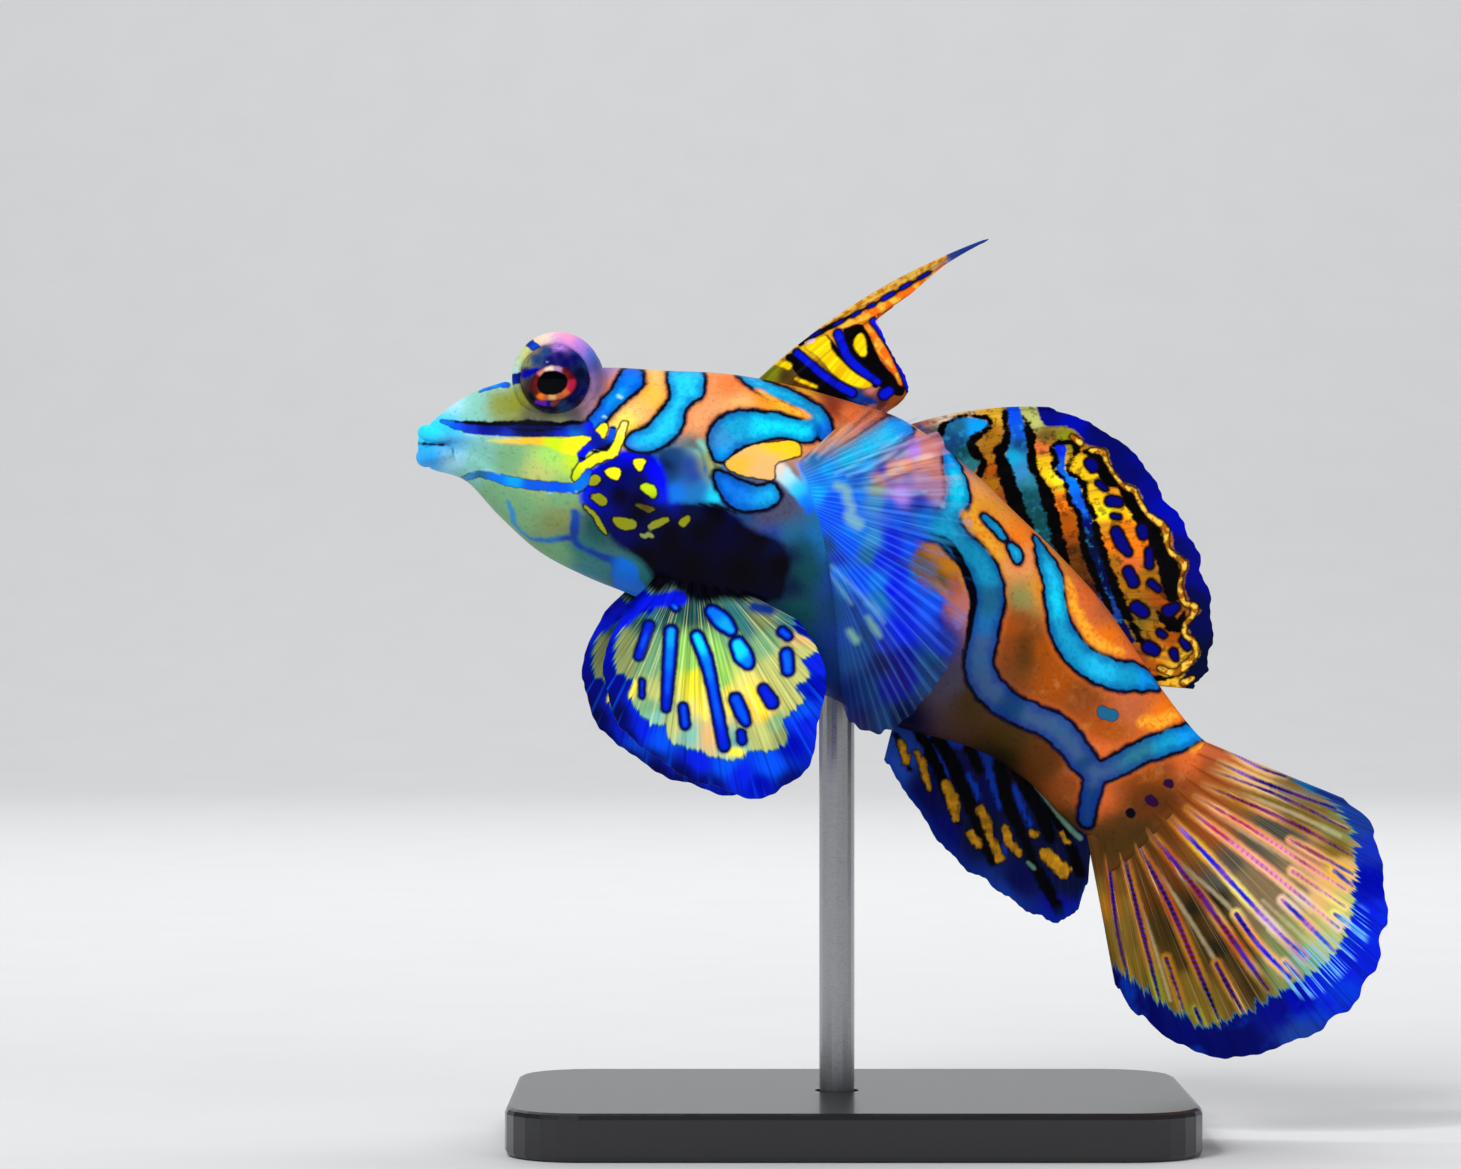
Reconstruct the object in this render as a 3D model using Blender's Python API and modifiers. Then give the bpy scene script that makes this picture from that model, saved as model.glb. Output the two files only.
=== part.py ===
# A life-size model of a male mandarinfish, swimming, held by a plain display stand.
# Sizes are in millimetres and become metres as each mesh is made.
# X runs from the snout to the tail, the left flank faces -Y, and Z is up from the floor.
import math

import bmesh
import bpy
import numpy as np
from mathutils import Vector

MM = 0.001
GAP = 0.3

# Body stations from the snout to the tail root: the back's x and z, the belly's x and z, half the width
STATIONS = (
    (-28.9, 48.1, -28.9, 46.1, 0.9),
    (-28.1, 48.9, -28.4, 45.4, 1.5),
    (-26.2, 50.3, -26.1, 44.6, 2.3),
    (-23.8, 51.3, -23.8, 42.2, 3.3),
    (-20.7, 51.9, -21.1, 39.8, 4.2),
    (-16.7, 52.3, -17.9, 38.1, 5.0),
    (-12.6, 52.1, -14.7, 36.8, 5.6),
    (-8.5, 51.9, -11.0, 35.1, 6.0),
    (-4.4, 51.2, -7.5, 33.1, 6.2),
    (0.0, 50.0, -3.8, 31.1, 6.1),
    (3.7, 48.7, -0.1, 29.2, 5.8),
    (7.5, 46.0, 3.2, 27.9, 5.4),
    (11.1, 42.6, 5.8, 27.2, 4.8),
    (14.4, 39.4, 8.2, 26.5, 4.1),
    (17.2, 36.3, 10.2, 25.5, 3.4),
    (19.5, 33.0, 12.4, 23.9, 2.7),
    (21.6, 29.9, 14.5, 21.7, 2.0),
    (23.8, 27.2, 16.7, 19.9, 1.2),
    (25.4, 26.2, 17.3, 18.0, 0.5),
)
WIDEST_LEVEL = 0.54  # share of the depth, from the back, where the body is widest
BACK_POWER = 1.12  # above 1 narrows the back
BELLY_POWER = 0.88  # below 1 fills out the belly

# Where thin cuts part the body, as station numbers
JAW_STATION = 4.2
GILL_STATION = 7.0
VENT_STATION = 12.5
TAIL_STATION = 18.0
CUT_STATIONS = GAP / 3.7  # the gap over the mean length between stations
RING_POINTS = 32

# Eyes: a skin dome, the eyeball that stands out of it, and the lid round the opening
EYE_DOME_RADIUS = 3.0
EYE_DOME_CENTRE = (-19.8, 2.55, 51.6)
EYE_RADIUS = 2.42
EYE_OUTWARD = 0.85
EYE_FORWARD = 0.1
LID_RADIUS = 2.74
LID_THICKNESS = 0.3
LID_OUTWARD = 1.25

# Soft swellings of the skin: station, angle and their widths, in stations and degrees, and the rise
SWELLINGS = (
    (4.4, 98.0, 1.25, 24.0, 0.45),
    (6.1, 76.0, 0.6, 12.0, 0.5),
    (8.6, 84.0, 0.55, 17.0, 0.35),
)
NOSTRIL = (1.75, 42.0, 0.36)  # station, angle in degrees and radius
GILL_PORE = (6.68, 66.0, 0.5)

# Mouth: two lips on half ovals seen from above, and the cut that parts the jaw
LIP_CORNER_X = -26.9
LIP_REACH = 1.95
LIP_HALF_WIDTH = 1.8
UPPER_LIP_Z = 47.87
UPPER_LIP_RADIUS = 0.55
LOWER_LIP_Z = 46.22
LOWER_LIP_RADIUS = 0.66
MOUTH_Z = 47.1
JAW_HINGE = (-26.6, MOUTH_Z)
THROAT_POINT = (-23.9, 41.2)

# Stand: a plate with rounded corners and one rod, let into the plate and into the belly
BASE_LENGTH = 46.0
BASE_WIDTH = 30.0
BASE_HEIGHT = 3.2
BASE_CORNER = 5.0
BASE_BEVEL = 0.4
ROD_RADIUS = 1.2
ROD_X = -0.9
ROD_TOP_Z = 32.6
ROD_SINK = 2.0
ROD_SIDES = 20

# Fins: a membrane with rays raised on both faces, thickest at the root
MEMBRANE = 0.5
RAY_THICKNESS = 1.0
RAY_TIP_THICKNESS = 0.6
COLUMNS_PER_RAY = 4

# Where each fin grows: stations along the back or belly, or station and angle in degrees on the left flank
FIRST_DORSAL_ROOT = (7.4, 9.5)
SECOND_DORSAL_ROOT = (10.2, 15.5)
ANAL_ROOT = (10.9, 16.6)
PECTORAL_ROOT = ((8.4, 60.0), (9.3, 100.0))
PELVIC_ROOT = ((6.4, 138.0), (7.7, 124.0))
FLANK_LIFT = 0.75  # of the middle of a paired fin's root over the skin

# Rays, rows of faces, the wave's height and count, and the bend of the first ray in x and z
FIN_SHAPES = {
    "dorsal_fin_first": {"rays": 4, "rows": 8, "wave": (0.5, 1.0), "bow": (-0.35, 0.65)},
    "dorsal_fin_second": {"rays": 8, "rows": 7, "wave": (0.7, 1.5), "bow": (0.0, 0.3)},
    "anal_fin": {"rays": 7, "rows": 6, "wave": (-0.6, 1.5), "bow": (0.0, 0.0)},
    "tail_fin": {"rays": 10, "rows": 8, "wave": (0.8, 1.5), "bow": (0.0, 0.0)},
    "pectoral_fin": {"rays": 10, "rows": 6, "wave": (0.3, 2.0), "bow": (0.0, 0.0)},
    "pelvic_fin": {"rays": 6, "rows": 7, "wave": (0.3, 2.0), "bow": (0.0, 0.0)},
}

# Each margin runs from the first ray's tip to the last ray's, as x, y and z
FIRST_DORSAL_MARGIN = (
    (9.5, 0.0, 61.1),
    (6.7, 0.0, 59.5),
    (4.4, 0.0, 57.6),
    (2.7, 0.0, 56.4),
    (1.9, 0.0, 55.8),
    (2.5, 0.0, 54.2),
    (3.4, 0.0, 52.4),
    (4.2, 0.0, 50.9),
    (3.4, 0.0, 50.1),
)
SECOND_DORSAL_MARGIN = (
    (13.7, 0.0, 49.6),
    (16.7, 0.0, 48.5),
    (19.4, 0.0, 46.6),
    (21.3, 0.0, 43.9),
    (23.1, 0.0, 41.1),
    (24.3, 0.0, 38.0),
    (24.8, 0.0, 34.6),
    (24.5, 0.0, 31.9),
    (23.4, 0.0, 30.5),
)
ANAL_MARGIN = (
    (2.3, 0.0, 25.5),
    (3.7, 0.0, 23.4),
    (5.8, 0.0, 20.3),
    (7.9, 0.0, 18.1),
    (10.1, 0.0, 16.6),
    (12.1, 0.0, 15.2),
    (13.9, 0.0, 14.5),
    (15.4, 0.0, 15.4),
    (16.1, 0.0, 17.3),
)
TAIL_MARGIN = (
    (33.7, 0.0, 22.9),
    (35.8, 0.0, 21.0),
    (36.5, 0.0, 17.5),
    (36.6, 0.0, 14.1),
    (35.4, 0.0, 10.7),
    (33.0, 0.0, 7.8),
    (29.6, 0.0, 6.2),
    (26.0, 0.0, 5.1),
    (22.3, 0.0, 6.2),
    (19.4, 0.0, 8.3),
    (18.1, 0.0, 10.3),
)
PELVIC_MARGIN = (
    (-15.0, -5.5, 36.1),
    (-16.4, -6.4, 33.5),
    (-16.6, -7.2, 30.6),
    (-15.3, -7.8, 27.8),
    (-12.8, -8.2, 25.8),
    (-9.5, -8.5, 23.9),
    (-5.6, -8.6, 23.4),
    (-3.0, -8.3, 25.3),
    (-2.0, -7.8, 28.6),
    (-1.8, -7.0, 32.3),
    (-3.5, -6.3, 35.1),
)
PECTORAL_MARGIN = (
    (0.9, -7.6, 49.8),
    (4.8, -8.6, 48.5),
    (7.0, -9.2, 45.3),
    (8.0, -9.4, 41.2),
    (8.0, -9.4, 36.9),
    (6.9, -9.2, 33.2),
    (4.8, -8.8, 29.9),
    (2.2, -8.2, 27.7),
    (-0.2, -7.6, 28.4),
    (-1.0, -7.0, 31.2),
)
RIGHT_PELVIC_SHIFT = (-1.8, 0.0, -0.5)  # the right pelvic fin is held further forward


def smooth(rows, t):
    """Catmull-Rom value of the rows at a fractional row number."""
    rows = np.asarray(rows, float)
    t = min(max(t, 0.0), len(rows) - 1.0)
    i = min(int(t), len(rows) - 2)
    f = t - i
    p0, p1, p2, p3 = rows[max(i - 1, 0)], rows[i], rows[i + 1], rows[min(i + 2, len(rows) - 1)]
    return p1 + 0.5 * f * (p2 - p0 + f * (2 * p0 - 5 * p1 + 4 * p2 - p3 + f * (3 * (p1 - p2) + p3 - p0)))


def body_point(t, angle, lift=0.0):
    """A point of the skin at station t; angle 0 is the back, pi/2 the left flank, pi the belly."""
    back_x, back_z, belly_x, belly_z, half_width = smooth(STATIONS, t)
    off_back = math.degrees(math.acos(math.cos(angle)))
    for at, level, length, height, rise in SWELLINGS:
        lift += rise * math.exp(-(((t - at) / length) ** 2) - ((off_back - level) / height) ** 2)
    back, belly = np.array((back_x, back_z)), np.array((belly_x, belly_z))
    up = (back - belly) / np.linalg.norm(back - belly)
    centre = back + (belly - back) * WIDEST_LEVEL
    rise = math.cos(angle)
    reach = np.linalg.norm((back if rise > 0 else belly) - centre) + lift
    power = BACK_POWER if rise > 0 else BELLY_POWER
    side = math.copysign(abs(math.sin(angle)) ** power, -math.sin(angle))
    x, z = centre + up * rise * reach
    return np.array((x, side * (half_width + lift), z))


def finish(name, colour, roughness=0.4, metallic=0.0):
    material = bpy.data.materials.new(name + "_finish")
    material.use_nodes = True
    shader = material.node_tree.nodes["Principled BSDF"]
    shader.inputs["Base Color"].default_value = (*colour, 1.0)
    shader.inputs["Roughness"].default_value = roughness
    shader.inputs["Metallic"].default_value = metallic
    return material


def mesh_object(name, bm, collection):
    mesh = bpy.data.meshes.new(name)
    bmesh.ops.recalc_face_normals(bm, faces=bm.faces)
    bm.to_mesh(mesh)
    bm.free()
    obj = bpy.data.objects.new(name, mesh)
    collection.objects.link(obj)
    return obj


def dress(obj, colour, roughness=0.4, metallic=0.0):
    obj.data.materials.clear()
    obj.data.materials.append(finish(obj.name, colour, roughness, metallic))
    obj.data.shade_smooth()
    return obj


def loft(name, first, last, rows, collection, lift=0.0):
    """A closed length of the body between two stations, with a flat face at each end."""
    bm = bmesh.new()
    rings = []
    for t in np.linspace(first, last, rows + 1):
        angles = np.linspace(0.0, 2 * math.pi, RING_POINTS, endpoint=False)
        rings.append([bm.verts.new(body_point(t, a, lift) * MM) for a in angles])
    for near, far in zip(rings, rings[1:]):
        for i in range(RING_POINTS):
            j = (i + 1) % RING_POINTS
            bm.faces.new((near[i], near[j], far[j], far[i]))
    bm.faces.new(rings[0])
    bm.faces.new(rings[-1])
    return mesh_object(name, bm, collection)


def ball(name, centre, radius, segments, rings, collection, aim=(0.0, 0.0, 1.0)):
    """A sphere with its poles along the aim's direction."""
    bm = bmesh.new()
    bmesh.ops.create_uvsphere(bm, u_segments=segments, v_segments=rings, radius=radius * MM)
    turn = Vector(aim).to_track_quat("Z", "Y").to_matrix()
    bmesh.ops.rotate(bm, verts=bm.verts, cent=Vector(), matrix=turn)
    bmesh.ops.translate(bm, verts=bm.verts, vec=Vector(centre) * MM)
    return mesh_object(name, bm, collection)


def rod(name, radius, bottom, top, collection):
    """An upright cylinder on the stand's axis from one height to another."""
    bm = bmesh.new()
    size = {"radius1": radius * MM, "radius2": radius * MM, "depth": (top - bottom) * MM}
    bmesh.ops.create_cone(bm, cap_ends=True, segments=ROD_SIDES, **size)
    bmesh.ops.translate(bm, verts=bm.verts, vec=Vector((ROD_X, 0.0, (top + bottom) / 2)) * MM)
    return mesh_object(name, bm, collection)


def ring(name, centre, aim, radius, thickness, collection):
    """A torus round the aim's direction."""
    bpy.ops.mesh.primitive_torus_add(
        major_segments=28, minor_segments=8, major_radius=radius * MM, minor_radius=thickness * MM
    )
    obj = bpy.context.object
    obj.name = name
    turn = Vector(aim).to_track_quat("Z", "Y").to_matrix().to_4x4()
    turn.translation = Vector(centre) * MM
    obj.data.transform(turn)
    for home in obj.users_collection:
        home.objects.unlink(obj)
    collection.objects.link(obj)
    return obj


def tube(name, points, radii, collection):
    """A round tube along the points, made a closed mesh."""
    curve = bpy.data.curves.new(name, "CURVE")
    curve.dimensions = "3D"
    curve.bevel_depth = MM
    curve.bevel_resolution = 2
    curve.use_fill_caps = True
    spline = curve.splines.new("POLY")
    spline.points.add(len(points) - 1)
    for point, place, radius in zip(spline.points, points, radii):
        point.co = (*(Vector(place) * MM), 1.0)
        point.radius = radius
    guide = bpy.data.objects.new(name + "_guide", curve)
    collection.objects.link(guide)
    graph = bpy.context.evaluated_depsgraph_get()
    mesh = bpy.data.meshes.new_from_object(guide.evaluated_get(graph))
    bpy.data.objects.remove(guide)
    bm = bmesh.new()
    bm.from_mesh(mesh)
    bpy.data.meshes.remove(mesh)
    bmesh.ops.remove_doubles(bm, verts=bm.verts, dist=1e-6)
    return mesh_object(name, bm, collection)


def prism(name, outline, half_width, collection):
    """A side-view outline, as x and z, run from flank to flank."""
    bm = bmesh.new()
    face = bm.faces.new([bm.verts.new(Vector((x, -half_width, z)) * MM) for x, z in outline])
    swept = bmesh.ops.extrude_face_region(bm, geom=[face])["geom"]
    moved = [v for v in swept if isinstance(v, bmesh.types.BMVert)]
    bmesh.ops.translate(bm, verts=moved, vec=Vector((0.0, 2 * half_width * MM, 0.0)))
    return mesh_object(name, bm, collection)


def combine(obj, others, operation):
    """Joins or cuts obj by the other closed meshes, removes them, and keeps the largest surface."""
    tools = bpy.data.collections.new(obj.name + "_tools")
    bpy.context.scene.collection.children.link(tools)
    for other in others:
        for home in other.users_collection:
            home.objects.unlink(other)
        tools.objects.link(other)
    modifier = obj.modifiers.new(operation.lower(), "BOOLEAN")
    modifier.operation = operation
    modifier.operand_type = "COLLECTION"
    modifier.collection = tools
    modifier.solver = "EXACT"
    graph = bpy.context.evaluated_depsgraph_get()
    mesh = bpy.data.meshes.new_from_object(obj.evaluated_get(graph))
    obj.modifiers.clear()
    spare, obj.data = obj.data, mesh
    bpy.data.meshes.remove(spare)
    for other in others:
        bpy.data.objects.remove(other)
    bpy.data.collections.remove(tools)
    keep_largest(obj)
    return obj


def keep_largest(obj):
    """Drops every closed surface of the mesh but the one with the most faces."""
    bm = bmesh.new()
    bm.from_mesh(obj.data)
    left, shells = set(bm.verts), []
    while left:
        shell, front = set(), [left.pop()]
        while front:
            vert = front.pop()
            shell.add(vert)
            near = {edge.other_vert(vert) for edge in vert.link_edges} & left
            left -= near
            front.extend(near)
        shells.append(shell)
    shells.sort(key=len)
    loose = [vert for shell in shells[:-1] for vert in shell]
    bmesh.ops.delete(bm, geom=loose, context="VERTS")
    bm.to_mesh(obj.data)
    bm.free()


def eye_aim(side):
    return Vector((-EYE_FORWARD, side, -0.18)).normalized()


def eye_centre(side):
    x, y, z = EYE_DOME_CENTRE
    return Vector((x, side * y, z)) + eye_aim(side) * EYE_OUTWARD


def lip(name, z, radius, collection):
    """A lip on a half oval round the snout, thin at the corners of the mouth."""
    points, radii = [], []
    for turn in np.linspace(-math.pi / 2, math.pi / 2, 15):
        points.append((LIP_CORNER_X - LIP_REACH * math.cos(turn), LIP_HALF_WIDTH * math.sin(turn), z))
        radii.append(radius * (0.45 + 0.55 * math.cos(turn) ** 0.5))
    return tube(name, points, radii, collection)


def jaw_wedge(name, grown, collection):
    """The space of the lower jaw, under the mouth line and ahead of the throat."""
    hinge_x, mouth_z = JAW_HINGE
    throat_x, throat_z = THROAT_POINT
    outline = (
        (hinge_x - 8.0, mouth_z - GAP / 2 + grown),
        (hinge_x + grown, mouth_z - GAP / 2 + grown),
        (throat_x + grown * 1.4, throat_z),
        (throat_x - 1.0, throat_z - 6.0),
        (hinge_x - 8.0, throat_z - 6.0),
    )
    return prism(name, outline, 8.0, collection)


def flank_place(t, degrees, side, lift=0.0):
    x, y, z = body_point(t, math.radians(degrees), lift)
    return Vector((x, -side * y, z))


def pit(name, spot, side, collection):
    t, degrees, radius = spot
    aim = (-0.5, side, 0.6 - 0.1 * side)
    return ball(name, flank_place(t, degrees, side), radius, 10, 6, collection, aim)


def build_head(collection):
    head = loft("head", 0.0, GILL_STATION, 16, collection)
    pieces = [lip("upper_lip_piece", UPPER_LIP_Z, UPPER_LIP_RADIUS, collection)]
    cutters = [jaw_wedge("jaw_space", GAP, collection)]
    for side in (-1, 1):
        cutters.append(pit("nostril", NOSTRIL, side, collection))
        cutters.append(pit("gill_pore", GILL_PORE, side, collection))
        x, y, z = EYE_DOME_CENTRE
        lid_centre = Vector((x, side * y, z)) + eye_aim(side) * LID_OUTWARD
        pole = (0.2 + 0.1 * side, side, 0.1)  # unlike on the two sides, so that no edges of the domes meet
        pieces.append(ball("eye_dome", (x, side * y, z), EYE_DOME_RADIUS, 24, 14, collection, pole))
        pieces.append(ring("eye_lid", lid_centre, eye_aim(side), LID_RADIUS, LID_THICKNESS, collection))
        socket = ball("eye_socket", eye_centre(side), EYE_RADIUS + GAP, 24, 14, collection, eye_aim(side))
        cutters.append(socket)
    combine(head, pieces, "UNION")
    combine(head, cutters, "DIFFERENCE")
    return dress(head, (0.45, 0.62, 0.42), 0.35)


def build_jaw(collection):
    jaw = loft("jaw", 0.0, JAW_STATION, 10, collection)
    combine(jaw, [jaw_wedge("jaw_block", 0.0, collection)], "INTERSECT")
    combine(jaw, [lip("lower_lip_piece", LOWER_LIP_Z, LOWER_LIP_RADIUS, collection)], "UNION")
    return dress(jaw, (0.1, 0.65, 0.85), 0.35)


def build_eyes(collection):
    for side, name in ((-1, "eye_left"), (1, "eye_right")):
        eye = ball(name, eye_centre(side), EYE_RADIUS, 20, 12, collection, eye_aim(side))
        dress(eye, (0.03, 0.03, 0.2), 0.08)


def build_trunk(collection):
    trunk = loft("trunk", GILL_STATION + CUT_STATIONS, VENT_STATION, 14, collection)
    socket = rod("rod_socket", ROD_RADIUS + GAP, BASE_HEIGHT, ROD_TOP_Z + GAP, collection)
    combine(trunk, [socket], "DIFFERENCE")
    return dress(trunk, (0.85, 0.38, 0.12), 0.35)


def build_tail_stalk(collection):
    stalk = loft("tail_stalk", VENT_STATION + CUT_STATIONS, TAIL_STATION, 12, collection)
    return dress(stalk, (0.85, 0.38, 0.12), 0.35)


def build_fin(name, shape, root, margin, colour, collection):
    """A waved membrane from the root's curve to the margin, with rays raised along it on both faces."""
    columns, rows = shape["rays"] * COLUMNS_PER_RAY, shape["rows"]
    height, count = shape["wave"]
    bm = bmesh.new()
    bmesh.ops.create_grid(bm, x_segments=columns, y_segments=rows, size=0.5)
    weights = []
    for vert in bm.verts:
        across, out = vert.co.x + 0.5, vert.co.y + 0.5
        tip = smooth(margin, across * (len(margin) - 1))
        place = root(across) * (1 - out) + tip * out
        place[1] += height * math.sin(2 * math.pi * count * across) * out**2
        place[[0, 2]] += np.array(shape["bow"]) * 4 * out * (1 - out) * (1 - across) ** 3
        on_ray = round(across * columns) % COLUMNS_PER_RAY == COLUMNS_PER_RAY // 2
        ray = RAY_THICKNESS * (1 - out) + RAY_TIP_THICKNESS * out
        weights.append((ray if on_ray else MEMBRANE) / RAY_THICKNESS)
        vert.co = place * MM
    bmesh.ops.triangulate(bm, faces=bm.faces)
    mesh = bpy.data.meshes.new(name)
    bm.to_mesh(mesh)
    bm.free()
    fin = bpy.data.objects.new(name, mesh)
    collection.objects.link(fin)
    group = fin.vertex_groups.new(name="thickness")
    for index, weight in enumerate(weights):
        group.add([index], weight, "REPLACE")
    shell = fin.modifiers.new("shell", "SOLIDIFY")
    shell.thickness = RAY_THICKNESS * MM
    shell.offset = 0.0
    shell.vertex_group = group.name
    return dress(fin, colour, 0.4)


def back_root(first, last):
    """A root line along the back from one station to another, clear of the skin by the gap."""
    return lambda across: body_point(first + (last - first) * across, 0.0, GAP)


def belly_root(first, last):
    return lambda across: body_point(first + (last - first) * across, math.pi, GAP)


def tail_root(across):
    """The tail fin's root, down the flat end of the tail stalk."""
    back_x, back_z, belly_x, belly_z, _ = STATIONS[-1]
    x, z = back_x + (belly_x - back_x) * across, back_z + (belly_z - back_z) * across
    away = Vector((back_z - belly_z, 0.0, belly_x - back_x)).normalized() * GAP
    return np.array((x, 0.0, z)) + np.array(away)


def flank_root(ends, side):
    """A root line on a flank, between two stations and angles; side is 1 on the left and -1 on the right."""
    (first, first_angle), (last, last_angle) = ends

    def place(across):
        angle = math.radians(first_angle + (last_angle - first_angle) * across)
        return body_point(first + (last - first) * across, angle, FLANK_LIFT) * (1.0, side, 1.0)

    return place


def build_fins(collection):
    blue, gold, clear = (0.02, 0.06, 0.75), (0.85, 0.5, 0.1), (0.1, 0.35, 0.85)
    middle = (
        ("dorsal_fin_first", back_root(*FIRST_DORSAL_ROOT), FIRST_DORSAL_MARGIN, gold),
        ("dorsal_fin_second", back_root(*SECOND_DORSAL_ROOT), SECOND_DORSAL_MARGIN, gold),
        ("anal_fin", belly_root(*ANAL_ROOT), ANAL_MARGIN, blue),
        ("tail_fin", tail_root, TAIL_MARGIN, gold),
    )
    for name, root, margin, colour in middle:
        build_fin(name, FIN_SHAPES[name], root, margin, colour, collection)
    for side, label, pelvic_shift in ((1, "_left", (0.0, 0.0, 0.0)), (-1, "_right", RIGHT_PELVIC_SHIFT)):
        pectoral = np.array(PECTORAL_MARGIN) * (1.0, side, 1.0)
        pelvic = np.array(PELVIC_MARGIN) * (1.0, side, 1.0) + pelvic_shift
        for name, ends, margin, colour in (
            ("pectoral_fin", PECTORAL_ROOT, pectoral, clear),
            ("pelvic_fin", PELVIC_ROOT, pelvic, blue),
        ):
            build_fin(name + label, FIN_SHAPES[name], flank_root(ends, side), margin, colour, collection)


def build_stand(collection):
    bm = bmesh.new()
    bmesh.ops.create_cube(bm, size=1.0)
    bmesh.ops.scale(bm, verts=bm.verts, vec=Vector((BASE_LENGTH, BASE_WIDTH, BASE_HEIGHT)) * MM)
    bmesh.ops.translate(bm, verts=bm.verts, vec=Vector((0.0, 0.0, BASE_HEIGHT / 2)) * MM)
    uprights = [e for e in bm.edges if abs(e.verts[0].co.z - e.verts[1].co.z) > MM]
    bmesh.ops.bevel(
        bm, geom=uprights, offset=BASE_CORNER * MM, segments=6, profile=0.5, affect="EDGES"
    )
    base = mesh_object("stand_base", bm, collection)
    hole = rod("rod_hole", ROD_RADIUS + GAP, BASE_HEIGHT - ROD_SINK, 2 * BASE_HEIGHT, collection)
    rounded = base.modifiers.new("rounded", "BEVEL")
    rounded.width = BASE_BEVEL * MM
    rounded.segments = 2
    rounded.limit_method = "ANGLE"
    rounded.angle_limit = math.radians(60)
    combine(base, [hole], "DIFFERENCE")
    dress(base, (0.03, 0.03, 0.035), 0.35)
    base.data.set_sharp_from_angle(angle=math.radians(35))
    post = rod("stand_rod", ROD_RADIUS, BASE_HEIGHT - ROD_SINK + GAP, ROD_TOP_Z, collection)
    dress(post, (0.75, 0.76, 0.78), 0.25, 1.0)
    post.data.set_sharp_from_angle(angle=math.radians(35))


def main():
    for obj in list(bpy.data.objects):
        bpy.data.objects.remove(obj)
    collection = bpy.data.collections.new("mandarinfish")
    bpy.context.scene.collection.children.link(collection)
    build_head(collection)
    build_jaw(collection)
    build_eyes(collection)
    build_trunk(collection)
    build_tail_stalk(collection)
    build_fins(collection)
    build_stand(collection)


main()
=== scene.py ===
import math

import bpy
import numpy as np
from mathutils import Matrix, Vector


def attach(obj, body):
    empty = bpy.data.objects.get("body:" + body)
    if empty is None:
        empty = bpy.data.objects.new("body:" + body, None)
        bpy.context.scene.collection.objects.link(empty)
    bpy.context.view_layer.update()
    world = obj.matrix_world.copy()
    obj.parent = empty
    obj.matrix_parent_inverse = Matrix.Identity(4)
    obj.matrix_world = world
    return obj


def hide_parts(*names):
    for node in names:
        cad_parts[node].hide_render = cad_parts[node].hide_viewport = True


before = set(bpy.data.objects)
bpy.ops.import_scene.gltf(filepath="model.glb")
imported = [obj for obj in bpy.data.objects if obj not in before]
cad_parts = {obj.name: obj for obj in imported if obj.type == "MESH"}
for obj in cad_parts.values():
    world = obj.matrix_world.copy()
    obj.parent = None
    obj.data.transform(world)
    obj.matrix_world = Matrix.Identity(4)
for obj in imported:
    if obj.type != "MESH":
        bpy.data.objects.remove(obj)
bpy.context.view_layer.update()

print("frame loaded")

mm = 0.001

# The photo's view: a pixel lies on the fish's middle plane, whose x and z are in millimetres
photo = {
    "pixel": 0.068,  # millimetres
    "uAtX0": 850.0,
    "vAtFloor": 1137.0,
    "middle": (730.5, 584.5),
    "distance": 331.0,
    "lens": 120.0,
    "sensor": 36.0,
    "nearest": 0.01,  # metres, before which nothing shows
}


# x and z are the pixel's offsets from the origin's pixel, times the size of a pixel
def fromPhoto(pixels):
    pixels = np.asarray(pixels, float)
    x = (pixels[..., 0] - photo["uAtX0"]) * photo["pixel"]
    z = (photo["vAtFloor"] - pixels[..., 1]) * photo["pixel"]
    return np.stack((x, z), -1)


cameraX, cameraZ = fromPhoto(photo["middle"])


# Where the camera's ray through a point crosses the middle plane: its offset from the axis times d / (d + y)
def seen(points):
    k = photo["distance"] / (photo["distance"] + points[..., 1])
    x = cameraX + (points[..., 0] - cameraX) * k
    z = cameraZ + (points[..., 2] - cameraZ) * k
    return np.stack((x, z), -1)


# Linear colour of a screen colour in 0 to 255
def tint(red, green, blue):
    screen = np.array((red, green, blue)) / 255.0
    linear = np.where(screen < 0.04045, screen / 12.92, ((screen + 0.055) / 1.055) ** 2.4)
    return tuple(linear.tolist())


# Catmull-Rom curve through the rows at fractional row numbers
def smoothRows(rows, t):
    rows = np.asarray(rows, float)
    t = np.clip(np.asarray(t, float), 0.0, len(rows) - 1.0)
    i = np.minimum(t.astype(int), len(rows) - 2)
    f = (t - i)[..., None]
    p0, p1, p2, p3 = (rows[np.clip(i + k, 0, len(rows) - 1)] for k in (-1, 0, 1, 2))
    return p1 + 0.5 * f * (p2 - p0 + f * (2 * p0 - 5 * p1 + 4 * p2 - p3 + f * (3 * (p1 - p2) + p3 - p0)))


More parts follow.
